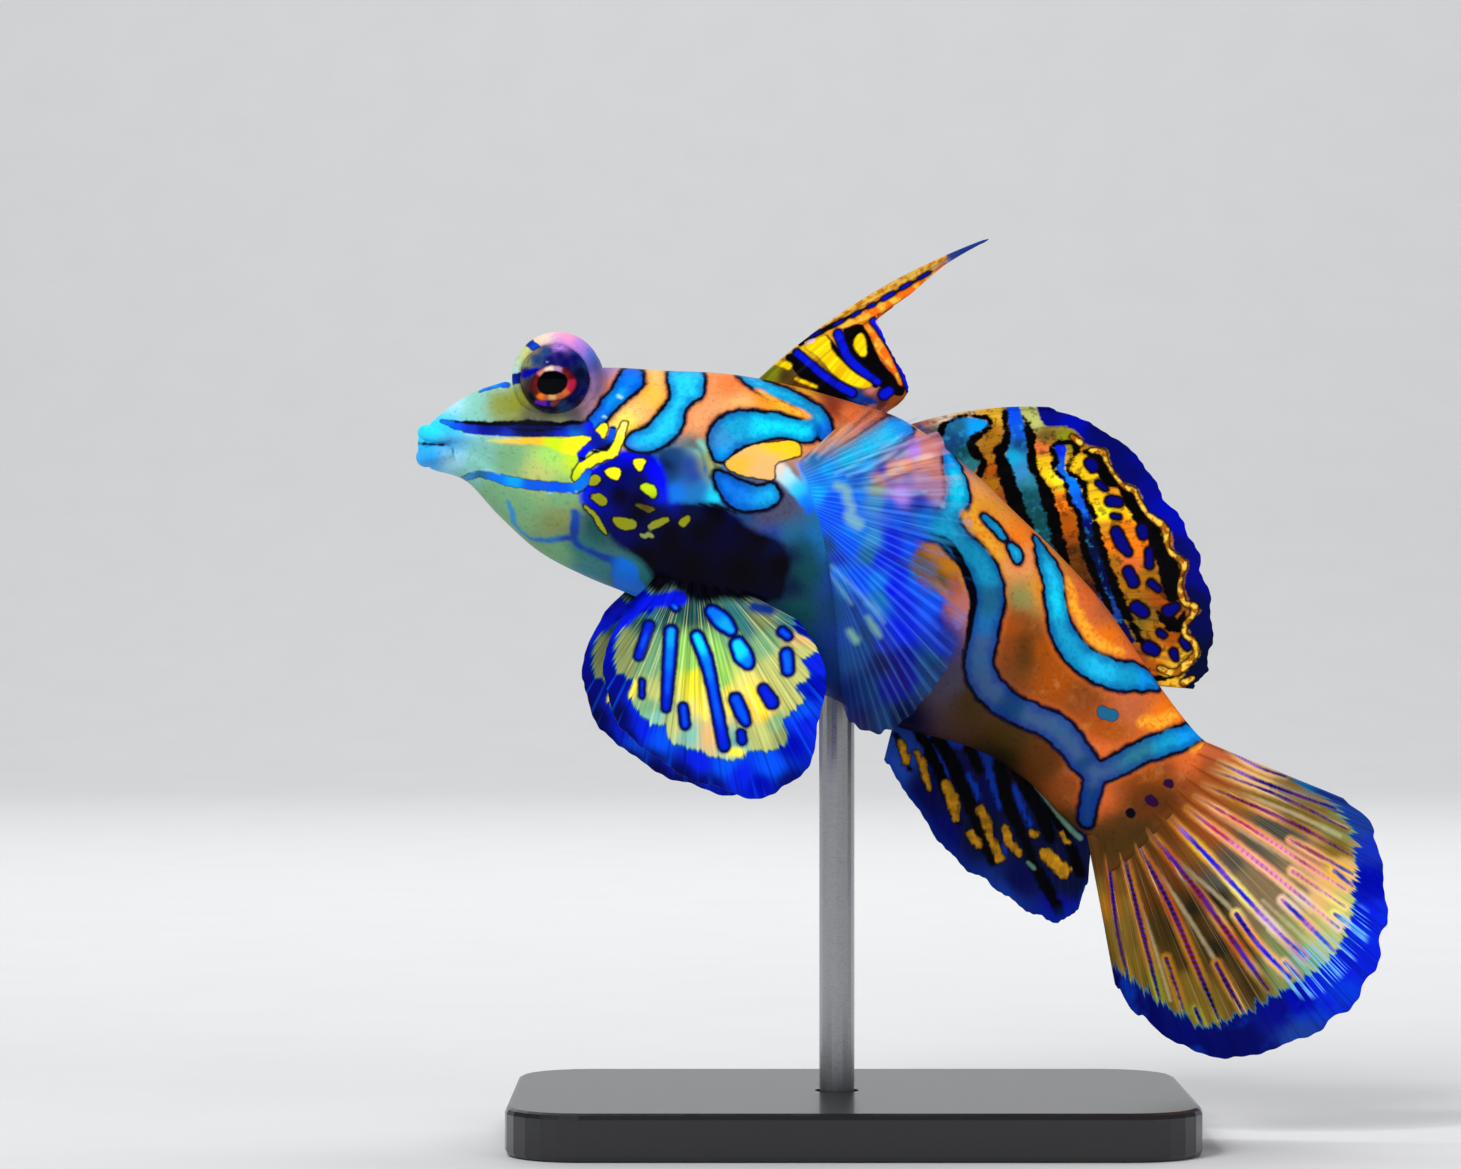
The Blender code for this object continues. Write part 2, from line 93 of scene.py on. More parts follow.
# The fish's paints, as screen colours
paints = {
    "ink": (5, 3, 10), "midnight": (5, 12, 48), "deepNavy": (4, 8, 70), "plum": (45, 8, 55),
    "navy": (4, 8, 95), "bark": (35, 30, 15), "royalNavy": (4, 8, 130), "maroon": (65, 25, 28),
    "wine": (98, 12, 18), "royal": (0, 8, 170), "umber": (70, 50, 18), "walnut": (92, 50, 15),
    "petrol": (20, 62, 115), "deepTeal": (15, 70, 75), "denim": (20, 45, 180), "steel": (62, 92, 140),
    "dusk": (25, 60, 150), "cobalt": (8, 30, 220), "slate": (75, 70, 90), "ultramarine": (4, 4, 242),
    "stone": (80, 80, 70), "sienna": (140, 68, 25), "harbour": (30, 100, 140), "azure": (5, 78, 238),
    "gentian": (15, 85, 220), "olive": (120, 95, 30), "crimson": (195, 25, 65), "teal": (40, 110, 115),
    "rust": (170, 78, 10), "fjord": (25, 110, 180), "mud": (130, 110, 80), "violetGrey": (125, 105, 170),
    "lagoon": (45, 125, 145), "kingfisher": (15, 115, 228), "cornflower": (5, 115, 248),
    "bronze": (170, 110, 18), "clay": (195, 100, 60), "heather": (55, 140, 200), "moss": (135, 140, 22),
    "sage": (130, 142, 85), "rose": (200, 120, 110), "coral": (230, 108, 50), "lilac": (175, 125, 225),
    "mauve": (175, 133, 170), "sea": (20, 160, 208), "sky": (10, 160, 248), "fern": (115, 168, 120),
    "tangerine": (252, 125, 15), "amber": (230, 145, 30), "apricot": (240, 155, 95), "pink": (245, 145, 180),
    "cyan": (30, 195, 245), "mint": (125, 192, 175), "salmon": (245, 160, 125), "straw": (190, 195, 110),
    "gold": (238, 182, 45), "sand": (230, 180, 112), "aqua": (15, 214, 252), "lime": (155, 222, 100),
    "yellowGold": (255, 200, 22), "cream": (230, 205, 180), "chartreuse": (195, 228, 20),
    "butter": (245, 225, 110), "lemon": (252, 238, 30), "ice": (165, 225, 240),
}


# A value laid at spots of the view spreads between them: their mean, weighed by 1 / (distance^2 + blend^2)^2
def spreadOver(places, spots, values, blend):
    total = np.zeros(len(places))
    mixed = np.zeros((len(places), len(values[0])))
    for spot, value in zip(fromPhoto(spots), values):
        weight = 1.0 / (((places - spot) ** 2).sum(-1) + blend**2) ** 2
        total += weight
        mixed += weight[:, None] * value
    return mixed / total[:, None]


# A table of paints and their spots, spread over the places
def washOver(places, table, blend):
    spots = [spot for paint in table for spot in table[paint]]
    values = [tint(*paints[paint]) for paint in table for _ in table[paint]]
    return spreadOver(places, spots, np.array(values), blend)


farAway = 3.0  # millimetres, past which a distance field stops
washBlend = {"skin": 0.8, "mark": 0.5, "fin": 0.35, "iris": 0.2, "ring": 0.08}  # millimetres


# Least distance to a chain of short segments, less half the chain's width there
def chainField(places, path, half):
    field = np.full(len(places), farAway)
    reach = half.max() + farAway
    near = np.flatnonzero(np.all((places > path.min(0) - reach) & (places < path.max(0) + reach), axis=1))
    spots, best = places[near], field[near]
    for a, b, halfA, halfB in zip(path[:-1], path[1:], half[:-1], half[1:]):
        span = b - a
        along = np.clip((spots - a) @ span / max(span @ span, 1e-9), 0.0, 1.0)
        gap = np.linalg.norm(spots - a - along[:, None] * span, axis=1) - (halfA + (halfB - halfA) * along)
        best = np.minimum(best, gap)
    field[near] = best
    return field


# A stroke's points are pixels and widths in pixels; the smooth curve through them is cut into short segments
def sampleStroke(stroke, cuts=5):
    rows = smoothRows(stroke, np.linspace(0.0, len(stroke) - 1.0, (len(stroke) - 1) * cuts + 1))
    return fromPhoto(rows[:, :2]), rows[:, 2] * photo["pixel"] / 2


# The nearest of all strokes, on the middle plane or carried onto a surface by lift
def strokesField(places, strokes, lift=None):
    field = np.full(len(places), farAway)
    for stroke in strokes:
        path, half = sampleStroke(stroke)
        field = np.minimum(field, chainField(places, lift(path) if lift else path, half))
    return field


# A value on one of a material's sockets, with the usual signs of arithmetic
class Value:
    def __init__(self, finish, socket):
        self.finish = finish
        self.socket = socket

    def do(self, operation, first, second):
        return self.finish.node("ShaderNodeMath", {"operation": operation}, {0: first, 1: second})

    def __add__(self, other):
        return self.do("ADD", self, other)

    def __sub__(self, other):
        return self.do("SUBTRACT", self, other)

    def __rsub__(self, other):
        return self.do("SUBTRACT", other, self)

    def __mul__(self, other):
        return self.do("MULTIPLY", self, other)

    __radd__ = __add__
    __rmul__ = __mul__

    def cosine(self):
        return self.finish.node("ShaderNodeMath", {"operation": "COSINE"}, {0: self})


# A Principled material: constants are set on its sockets, and varying values are linked with wear
class Finish:
    def __init__(self, name, **fixed):
        self.material = bpy.data.materials.new(name)
        self.material.use_nodes = True
        self.tree = self.material.node_tree
        self.shader = self.tree.nodes["Principled BSDF"]
        for socket, value in fixed.items():
            self.shader.inputs[socket.replace("_", " ")].default_value = value
        self.place = self.node("ShaderNodeTexCoord", {}, {}, "Object")

    def node(self, kind, settings, inputs, output=0):
        made = self.tree.nodes.new(kind)
        for key, value in settings.items():
            setattr(made, key, value)
        for key, value in inputs.items():
            if isinstance(value, Value):
                self.tree.links.new(value.socket, made.inputs[key])
            else:
                made.inputs[key].default_value = value
        return Value(self, made.outputs[output])

    def mix(self, amount, below, above):
        colours = [c if isinstance(c, Value) else (*c, 1.0) for c in (below, above)]
        return self.node("ShaderNodeMix", {"data_type": "RGBA"}, {0: amount, 6: colours[0], 7: colours[1]}, 2)

    def field(self, name):
        return self.node("ShaderNodeAttribute", {"attribute_name": name}, {}, "Fac")

    def wash(self, name):
        return self.node("ShaderNodeAttribute", {"attribute_name": name}, {}, "Color")

    def step(self, value, low, high):
        settings = {"interpolation_type": "SMOOTHSTEP"}
        return self.node("ShaderNodeMapRange", settings, {"Value": value, "From Min": low, "From Max": high})

    # from one colour to another as a value runs from low to high, and no further than most of the way
    def fade(self, below, above, value, low, high, most=None):
        share = self.step(value, low, high)
        return self.mix(share if most is None else share * most, below, above)

    def noise(self, perMm, detail=2.0, rough=0.5, at=None):
        inputs = {"Vector": at or self.place, "Scale": perMm / mm, "Detail": detail, "Roughness": rough}
        return self.node("ShaderNodeTexNoise", {}, inputs)

    def stretch(self, *scale):
        return self.node("ShaderNodeMapping", {}, {"Vector": self.place, "Scale": scale})

    # noise drawn out along a fin's rays, from the fin's own two coordinates
    def threads(self, count, along):
        inputs = {"X": self.field("across") * count, "Y": self.field("out") * along}
        return self.noise(mm, 2.0, 0.5, self.node("ShaderNodeCombineXYZ", {}, inputs))

    def bump(self, height, depth, strength):
        inputs = {"Height": height, "Distance": depth * mm, "Strength": strength}
        return self.node("ShaderNodeBump", {}, inputs)

    def wear(self, **links):
        for socket, value in links.items():
            self.tree.links.new(value.socket, self.shader.inputs[socket.replace("_", " ")])
        return self.material

    # a mark drawn by a distance field: its edge colour reaches past zero, its own colour lies inside
    def mark(self, below, field, colour, soft, edge=None, edgeWidth=0.0, edgeSoft=0.12):
        if edge is not None:
            below = self.fade(below, edge, field, edgeWidth + edgeSoft, edgeWidth - edgeSoft)
        return self.fade(below, colour, field, soft, -soft)


# Faces of a grid of rows and columns, either of which may run round in a loop
def gridFaces(rows, columns, loopColumns=False, loopRows=False):
    rowStarts = np.arange(rows if loopRows else rows - 1)
    columnStarts = np.arange(columns if loopColumns else columns - 1)
    row, column = np.meshgrid(rowStarts, columnStarts, indexing="ij")
    below, beside = (row + 1) % rows, (column + 1) % columns
    corners = ((row, column), (row, beside), (below, beside), (below, column))
    return np.stack([r * columns + c for r, c in corners], -1).reshape(-1, 4)


# Closes a grid of rings into a shell whose first and last rings shrink to a point each, or to the ends given
def closedRings(grid, ends=None):
    rows, columns = grid.shape[:2]
    ends = (grid[0].mean(0), grid[-1].mean(0)) if ends is None else ends
    flat = np.concatenate((grid.reshape(-1, 3), ends))
    here, last = np.arange(columns), (rows - 1) * columns
    beside = np.roll(here, -1)
    firstFan = np.stack((np.full(columns, len(flat) - 2), beside, here), -1)
    lastFan = np.stack((np.full(columns, len(flat) - 1), last + here, last + beside), -1)
    fans = np.stack((firstFan, lastFan), 1).reshape(-1, 3)
    return flat, gridFaces(rows, columns, True).tolist() + fans.tolist()


# Six times the signed volume of a closed mesh is the sum of a . (b x c) over its triangles
def facesOut(points, faces):
    quads = [np.array([f for f in faces if len(f) == n]).reshape(-1, n) for n in (3, 4)]
    triangles = np.concatenate((quads[0], quads[1][:, :3], quads[1][:, [0, 2, 3]])).astype(int)
    a, b, c = (points[triangles[:, k]] for k in range(3))
    return (a * np.cross(b, c)).sum() > 0


# Makes the mesh in metres, gives it its fields, washes and material, and fits it to the frame
def makePiece(name, points, faces, material, slot, nodes, fields, washes):
    faces = faces if isinstance(faces, list) else faces.tolist()
    if not facesOut(points, faces):
        faces = [face[::-1] for face in faces]
    mesh = bpy.data.meshes.new(name)
    mesh.from_pydata((points * mm).tolist(), [], faces)
    mesh.shade_smooth()
    for key, values in fields.items():
        mesh.attributes.new(key, "FLOAT", "POINT").data.foreach_set("value", np.asarray(values, np.float32))
    for key, values in washes.items():
        rgba = np.concatenate((values, np.ones((len(values), 1))), 1).astype(np.float32)
        mesh.attributes.new(key, "FLOAT_COLOR", "POINT").data.foreach_set("color", rgba.ravel())
    piece = bpy.data.objects.new(name, mesh)
    bpy.context.scene.collection.objects.link(piece)
    mesh.materials.append(material)
    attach(piece, "root")
    if nodes:
        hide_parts(*nodes)


# Body stations from the snout to the tail root: the back's x and z, the belly's x and z, half the width
body = {
    "stations": (
        (-28.9, 48.1, -28.9, 46.1, 0.9), (-28.1, 48.9, -28.4, 45.4, 1.5), (-26.2, 50.3, -26.1, 44.6, 2.3),
        (-23.8, 51.3, -23.8, 42.2, 3.3), (-20.7, 51.9, -21.1, 39.8, 4.2), (-16.7, 52.3, -17.9, 38.1, 5.0),
        (-12.6, 52.1, -14.7, 36.8, 5.6), (-8.5, 51.9, -11.0, 35.1, 6.0), (-4.4, 51.2, -7.5, 33.1, 6.2),
        (0.0, 50.0, -3.8, 31.1, 6.1), (3.7, 48.7, -0.1, 29.2, 5.8), (7.5, 46.0, 3.2, 27.9, 5.4),
        (11.1, 42.6, 5.8, 27.2, 4.8), (14.4, 39.4, 8.2, 26.5, 4.1), (17.2, 36.3, 10.2, 25.5, 3.4),
        (19.5, 33.0, 12.4, 23.9, 2.7), (21.6, 29.9, 14.5, 21.7, 2.0), (23.8, 27.2, 16.7, 19.9, 1.2),
        (25.4, 26.2, 17.3, 18.0, 0.5),
    ),
    "widestLevel": 0.54,  # share of the depth, from the back
    "backPower": 1.12,
    "bellyPower": 0.88,
    "rows": 400,
    "columns": 236,
    "samples": 600,  # along the middle, to measure its length
    "headDensity": 1.7,  # how much closer the rows lie at the snout than at the tail
    "headEnds": (6.0, 8.0),  # stations between which they thin out
    "capRings": 5,
    "capPower": 0.6,
    # row, heading and depth of each rounded end
    "caps": ((0, (-1.0, 0.0, 0.0), 0.45), (-1, (0.64, 0.0, -0.77), 0.7)),
    # station, angle from the back in degrees, their widths, and the rise
    "swellings": (
        (4.4, 98.0, 1.25, 24.0, 0.45),  # cheek
        (6.1, 76.0, 0.6, 12.0, 0.5),  # gill pouch
        (8.6, 84.0, 0.55, 17.0, 0.35),  # pectoral root
        (6.72, 64.0, 0.16, 5.0, -0.5),  # gill pore
        (6.62, 64.0, 0.24, 8.0, 0.28),
        (1.75, 42.0, 0.13, 9.0, 0.3),  # nostril
        (1.75, 42.0, 0.06, 4.0, -0.5),
        (2.6, 84.0, 1.6, 7.0, 0.22),  # ridge under the eye
        (2.9, 104.0, 1.2, 6.0, -0.12),
        (5.3, 120.0, 0.9, 7.0, 0.18),
        (0.9, 96.0, 0.9, 12.0, -0.28),  # groove behind the mouth
    ),
}
eye = {
    "domeCentre": (-19.8, -2.55, 51.6),
    "domeRadius": 3.0,
    "anchor": (-19.8, 0.0, 50.3),  # inside the head and both domes
    "fillet": 0.45,
    "aim": (-0.1, -1.0, -0.18),
    "outward": 0.85,
    "radius": 2.42,
    "rings": 140,
    "around": 200,
    # behind the eyeball the skin sinks by a share, within an angle of the aim and a reach past the dome
    "sinkAngle": (60.0, 68.0),
    "sinkShare": 0.45,
    "sinkReach": 0.4,
}
# How a path finds the left flank: its reach, how few skin points are too few, how many of the nearest it
# takes, and the pull toward a depth beside the middle plane
flank = {"reach": 1.5, "fewest": 8, "nearest": 4, "pull": 0.004, "depth": -6.0}


# Signs that turn points of the right flank onto the left one
def foldSigns(points):
    return np.where(points[..., 1:2] > 0, (1.0, -1.0, 1.0), (1.0, 1.0, 1.0))


# A section is an oval about the widest level: up the back by cos, out by a power of sin, and lifted
def bodyPoints(t, angle, lift=0.0):
    rows = smoothRows(body["stations"], t)
    back, belly, halfWidth = rows[..., 0:2], rows[..., 2:4], rows[..., 4]
    depth = np.linalg.norm(back - belly, axis=-1)
    up = (back - belly) / depth[..., None]
    centre = back + (belly - back) * body["widestLevel"]
    rise = np.cos(angle)
    share = np.where(rise > 0, body["widestLevel"], 1.0 - body["widestLevel"])
    power = np.where(rise > 0, body["backPower"], body["bellyPower"])
    side = -np.sign(np.sin(angle)) * np.abs(np.sin(angle)) ** power
    swell = np.array(lift, float)
    offBack = np.degrees(np.arccos(np.clip(rise, -1.0, 1.0)))
    for at, level, length, height, amount in body["swellings"]:
        swell = swell + amount * np.exp(-(((t - at) / length) ** 2) - ((offBack - level) / height) ** 2)
    xz = centre + up * (rise * (depth * share + swell))[..., None]
    return np.stack((xz[..., 0], side * (halfWidth + swell), xz[..., 1]), -1)


# A vector divided by its length
def unit(vector):
    return np.asarray(vector, float) / np.linalg.norm(vector, axis=-1, keepdims=True)


# Pushes the skin out from an anchor to the eye's dome: the smooth greater of its own reach and the dome's
def raiseDomes(points):
    mirror = foldSigns(points)
    left = points * mirror
    anchor, centre = np.array(eye["anchor"]), np.array(eye["domeCentre"])
    reach = np.linalg.norm(left - anchor, axis=-1)
    ray = (left - anchor) / reach[..., None]
    toward = ray @ (centre - anchor)
    inside = eye["domeRadius"] ** 2 - ((centre - anchor) ** 2).sum()
    dome = toward + np.sqrt(inside + toward**2)
    raised = 0.5 * (reach + dome + np.sqrt((reach - dome) ** 2 + eye["fillet"] ** 2))
    left = anchor + ray * raised[..., None]
    # within the lids' ring the skin sinks behind the eyeball
    out = left - centre
    away = np.linalg.norm(out, axis=-1)
    turn = np.degrees(np.arccos(np.clip(out @ unit(eye["aim"]) / np.maximum(away, 1e-6), -1.0, 1.0)))
    full, none = eye["sinkAngle"]
    sunk = np.clip((none - turn) / (none - full), 0.0, 1.0)
    onDome = (away < eye["domeRadius"] + eye["sinkReach"])[..., None]
    pressed = centre + out * (1.0 - eye["sinkShare"] * sunk * sunk * (3.0 - 2.0 * sunk))[..., None]
    return np.where(onDome, pressed, left) * mirror


# Rows lie closer where the stations call for it: equal steps of weighed length
def bodyRows():
    t = np.linspace(0.0, len(body["stations"]) - 1.0, body["samples"])
    middle = smoothRows(body["stations"], t)
    middle = (middle[:, 0:2] + middle[:, 2:4]) / 2
    steps = np.linalg.norm(np.diff(middle, axis=0), axis=1)
    weight = np.interp(t[1:], body["headEnds"], (body["headDensity"], 1.0))
    length = np.concatenate(([0.0], np.cumsum(steps * weight)))
    return np.interp(np.linspace(0.0, length[-1], body["rows"]), length, t)


# The body's rings with its domes; at each end the last section shrinks by cos while it moves on by sin
def skinGrid():
    angles = np.linspace(0.0, 2 * np.pi, body["columns"], endpoint=False)
    points = raiseDomes(bodyPoints(*np.meshgrid(bodyRows(), angles, indexing="ij")))
    turns = np.linspace(0.0, np.pi / 2, body["capRings"] + 2)[1:-1, None, None]
    caps, ends = [], []
    for row, heading, depth in body["caps"]:
        middle, onward = points[row].mean(0), unit(heading) * depth
        shrunk = middle + (points[row] - middle) * np.cos(turns) ** body["capPower"]
        caps.append(shrunk + np.sin(turns) * onward)
        ends.append(middle + onward)
    return closedRings(np.concatenate((caps[0][::-1], points, caps[1])), ends)


skinPoints, skinFaces = skinGrid()
foldedSkin = skinPoints * foldSigns(skinPoints)
skinSeen = seen(foldedSkin)


# Carries a path on the middle plane onto the left flank: the mean of the four nearest skin points in view
def ontoFlank(path):
    low, high = path.min(0) - flank["reach"], path.max(0) + flank["reach"]
    near = np.flatnonzero(np.all((skinSeen > low) & (skinSeen < high), axis=1))
    if len(near) < flank["fewest"]:
        near = np.arange(len(skinSeen))
    pull = flank["pull"] * (foldedSkin[near, 1] - flank["depth"]) ** 2
    cost = ((skinSeen[near][None] - path[:, None]) ** 2).sum(-1) + pull
    best = np.argpartition(cost, flank["nearest"], axis=1)[:, : flank["nearest"]]
    weight = 1.0 / (np.take_along_axis(cost, best, 1) + 1e-3)
    return (foldedSkin[near[best]] * weight[..., None]).sum(1) / weight.sum(1)[:, None]


# Even-odd test of each place against a closed outline, by counting the sides crossed to its right
def insideOf(places, outline):
    inside = np.zeros(len(places), bool)
    for a, b in zip(outline, np.roll(outline, -1, axis=0)):
        if a[1] != b[1]:
            spans = (places[:, 1] > min(a[1], b[1])) & (places[:, 1] <= max(a[1], b[1]))
            crossing = a[0] + (places[:, 1] - a[1]) * (b[0] - a[0]) / (b[1] - a[1])
            inside ^= spans & (places[:, 0] < crossing)
    return inside


# Distance to a smooth closed outline of pixels, negative within it
def areaField(places, pixels, cuts=5):
    rows = np.asarray(pixels, float)
    ring = np.concatenate((rows[-1:], rows, rows[:2]))
    t = np.linspace(1.0, len(rows) + 1.0, len(rows) * cuts + 1)
    outline = fromPhoto(smoothRows(ring, t))
    edge = chainField(places, outline, np.zeros(len(outline)))
    return np.where(insideOf(places, outline[:-1]), -edge, edge)


# Least field of a layer's shapes: a shape of (u, v, width) rows is a stroke, one of (u, v) rows an area
def layerField(shapes, views, places=None, lift=None):
    strokes = [shape for shape in shapes if len(shape[0]) == 3]
    field = strokesField(views if places is None else places, strokes, lift)
    for shape in shapes:
        if len(shape[0]) == 2:
            field = np.minimum(field, areaField(views, shape))
    return field


# Fields of all of a piece's layers, by name
def layerFields(layers, views, places=None, lift=None):
    return {name: layerField(shapes, views, places, lift) for name, shapes in layers.items()}


# The skin's paints between its marks, each at the pixels of the photo where it was laid
skinWash = {
    "midnight": ((900, 720), (794, 556), (793, 585)), "deepNavy": ((860, 690),), "bark": ((1000, 760),),
    "maroon": ((890, 408),), "wine": ((835, 410),),
    "umber": ((970, 700), (1010, 735), (1070, 825), (1024, 655), (1120, 820), (1110, 838), (1140, 835)),
    "walnut": ((1045, 760), (1025, 642), (1165, 800), (1135, 802), (1150, 790)),
    "petrol": ((640, 600), (745, 512), (668, 474), (845, 650), (804, 650), (835, 560), (836, 610)),
    "deepTeal": ((595, 525), (812, 575), (800, 610), (806, 548), (804, 570)),
    "dusk": ((594, 366), (940, 640), (690, 464), (690, 476), (815, 668), (838, 640), (832, 580), (772, 533)),
    "slate": ((575, 418), (945, 435), (950, 680), (785, 512), (768, 518)), "stone": ((545, 420), (530, 415)),
    "sienna": ((1085, 695), (1070, 790), (1120, 800), (1020, 620), (1008, 650), (1188, 785), (1205, 768),
        (1168, 770)),
    "harbour": ((655, 456), (962, 440), (664, 452), (790, 530), (822, 520)),
    "teal": ((642, 572), (690, 442), (700, 450), (580, 545)),
    "rust": ((1010, 625), (1055, 680), (1105, 730), (1150, 775), (1042, 650)),
    "fjord": ((832, 548), (818, 535)), "violetGrey": ((603, 372), (598, 386), (915, 485)),
    "lagoon": ((580, 580),), "kingfisher": ((595, 352), (965, 425), (675, 490)),
    "bronze": ((990, 440), (930, 560)), "clay": ((870, 415), (1130, 705), (1105, 610), (1215, 752)),
    "heather": ((450, 445),), "moss": ((498, 402), (515, 405), (519, 397)),
    "sage": ((560, 423), (1025, 598), (560, 520)), "rose": ((925, 445), (962, 605)),
    "coral": ((735, 388), (850, 412), (1100, 750), (1085, 600), (1120, 655), (1190, 760), (1185, 765),
        (1110, 800)),
    # The cream, pink and lilac at the dome's top are partly the dome's own colour and partly painted
    # highlight; the ice on the snout and at the dome's left is painted highlight
    "lilac": ((560, 347), (582, 344)), "mauve": ((592, 406), (900, 462), (935, 485)), "sea": ((708, 492),),
    "sky": ((432, 456),), "fern": ((510, 455), (490, 490), (520, 500), (560, 495), (560, 555)),
    "tangerine": ((1165, 722), (1105, 640), (1015, 540)),
    "amber": ((765, 398), (988, 505), (950, 575), (1040, 592)),
    "apricot": ((610, 385), (690, 422), (830, 440), (995, 490), (1020, 560), (696, 430)),
    "pink": ((568, 336),), "cyan": ((450, 425),), "mint": ((478, 398), (470, 415), (480, 460), (465, 480)),
    "salmon": ((606, 408),), "straw": ((528, 354), (540, 472), (514, 356)),
    "gold": ((655, 402), (648, 384), (990, 550)), "sand": ((655, 376), (740, 403), (930, 420), (650, 412)),
    "aqua": ((432, 430),), "lime": ((550, 457),), "yellowGold": ((790, 408), (965, 515)),
    "cream": ((545, 337),), "chartreuse": ((575, 458),), "butter": ((618, 420),), "lemon": ((622, 428),),
    "ice": ((455, 404), (452, 460), (499, 374), (508, 362)),
}
# The paints of the marks along their length, one table for each kind of mark
markWashes = {}
markWashes["skyWash"] = {
    "petrol": ((1085, 762), (1010, 706), (1090, 800)), "harbour": ((990, 600),), "azure": ((535, 347),),
    "gentian": ((900, 520),), "fjord": ((985, 630),), "lagoon": ((1142, 752),),
    "kingfisher": ((825, 430), (725, 485)), "cornflower": ((600, 420), (632, 382), (818, 480), (830, 505)),
    "heather": ((720, 440),),
    "sea": ((815, 415), (735, 425), (965, 550), (985, 570), (1165, 744), (1042, 550), (1062, 630),
        (1075, 652), (1130, 678)),
    "sky": ((622, 398), (722, 455), (900, 426), (948, 455), (925, 522), (1190, 734), (1148, 680), (495, 383)),
    "cyan": ((685, 388), (668, 425), (800, 478), (805, 495), (850, 460), (880, 438), (945, 526), (1050, 575),
        (1100, 670), (1014, 552)),
    "aqua": ((770, 425), (800, 430), (955, 485), (1056, 600)),
    "steel": ((985, 640), (990, 690), (1035, 718), (1078, 752), (1095, 772)),
}
# The dark area's paints: the fish's own navy with blue lines, and near-black painted shadow below the gill
# cover and between the belly and the pelvic fin
markWashes["darkAndShadowWash"] = {
    "ink": ((670, 545), (690, 565), (740, 570), (700, 595), (660, 590), (715, 514), (740, 524), (620, 495),
        (640, 500), (760, 538), (780, 562), (645, 560), (700, 530), (640, 512), (670, 530)),
    "royal": ((592, 508), (604, 464), (620, 462), (650, 455)), "cobalt": ((583, 497), (664, 494)),
    "ultramarine": ((586, 480), (590, 471), (625, 453), (640, 452), (655, 470), (663, 486)),
    "midnight": ((600, 482), (640, 480), (660, 512), (690, 512), (776, 545)),
    "deepNavy": ((607, 530), (625, 472), (740, 517)), "navy": ((602, 519),),
}
markWashes["goldWash"] = {
    "umber": ((646, 506),), "moss": ((580, 489), (595, 480), (602, 500), (624, 523), (659, 521), (686, 521)),
    "sage": ((648, 537),), "rose": ((964, 610),), "amber": ((930, 550), (955, 580)),
    "straw": ((490, 440), (708, 455)), "gold": ((515, 440), (535, 441), (740, 460), (718, 460)),
    "sand": ((770, 462), (762, 474), (740, 452)), "yellowGold": ((775, 446), (975, 525), (795, 446)),
    "chartreuse": ((552, 443), (578, 474), (649, 489)), "butter": ((622, 428),),
    "lemon": ((575, 442), (586, 465), (602, 430), (619, 440), (613, 473), (638, 462)),
}
markWashes["lineWash"] = {
    "ink": ((1131, 813),), "deepNavy": ((606, 447), (530, 341), (530, 430), (540, 429), (520, 428)),
    "plum": ((1150, 800),), "royalNavy": ((595, 438), (534, 372), (492, 391), (515, 378), (485, 430)),
    "walnut": ((1025, 653),), "denim": ((505, 433), (470, 430)), "ultramarine": ((593, 426), (584, 453)),
    "harbour": ((480, 474), (1110, 714)),
    "azure": ((612, 433), (565, 488), (502, 383), (536, 347), (455, 428)), "gentian": ((530, 484),),
    "kingfisher": ((576, 484), (446, 423), (575, 434)), "cornflower": ((497, 477), (484, 385)),
    "heather": ((468, 478),), "sky": ((515, 479), (494, 384)),
    "navy": ((525, 375), (500, 428), (550, 432), (576, 428), (562, 428)), "petrol": ((543, 354),),
    "cobalt": ((562, 434),), "deepTeal": ((436, 444),),
}
markWashes["softAndHighlightWash"] = {
    "midnight": ((668, 466),), "petrol": ((674, 458), (668, 474)),
    "dusk": ((575, 538), (600, 556), (690, 464), (695, 476)), "gentian": ((806, 468),),
    "olive": ((940, 580),), "fjord": ((545, 540), (698, 500), (700, 488)), "mud": ((925, 562),),
    "kingfisher": ((628, 568), (676, 492)), "cornflower": ((815, 485), (846, 528), (806, 502)),
    "bronze": ((912, 549),), "clay": ((957, 584),), "heather": ((516, 528),),
    "sage": ((708, 457), (710, 470)), "rose": ((962, 605),), "mauve": ((960, 622),), "sky": ((822, 500),),
    "amber": ((932, 551), (948, 566)), "mint": ((703, 446),), "straw": ((717, 464),),
    # aqua, ice and cream are the paints of the painted highlights
    "aqua": ((715, 497), (724, 488)), "ice": ((790, 475),), "cyan": ((799, 488),), "azure": ((810, 512),),
    "cream": ((778, 468),),
}
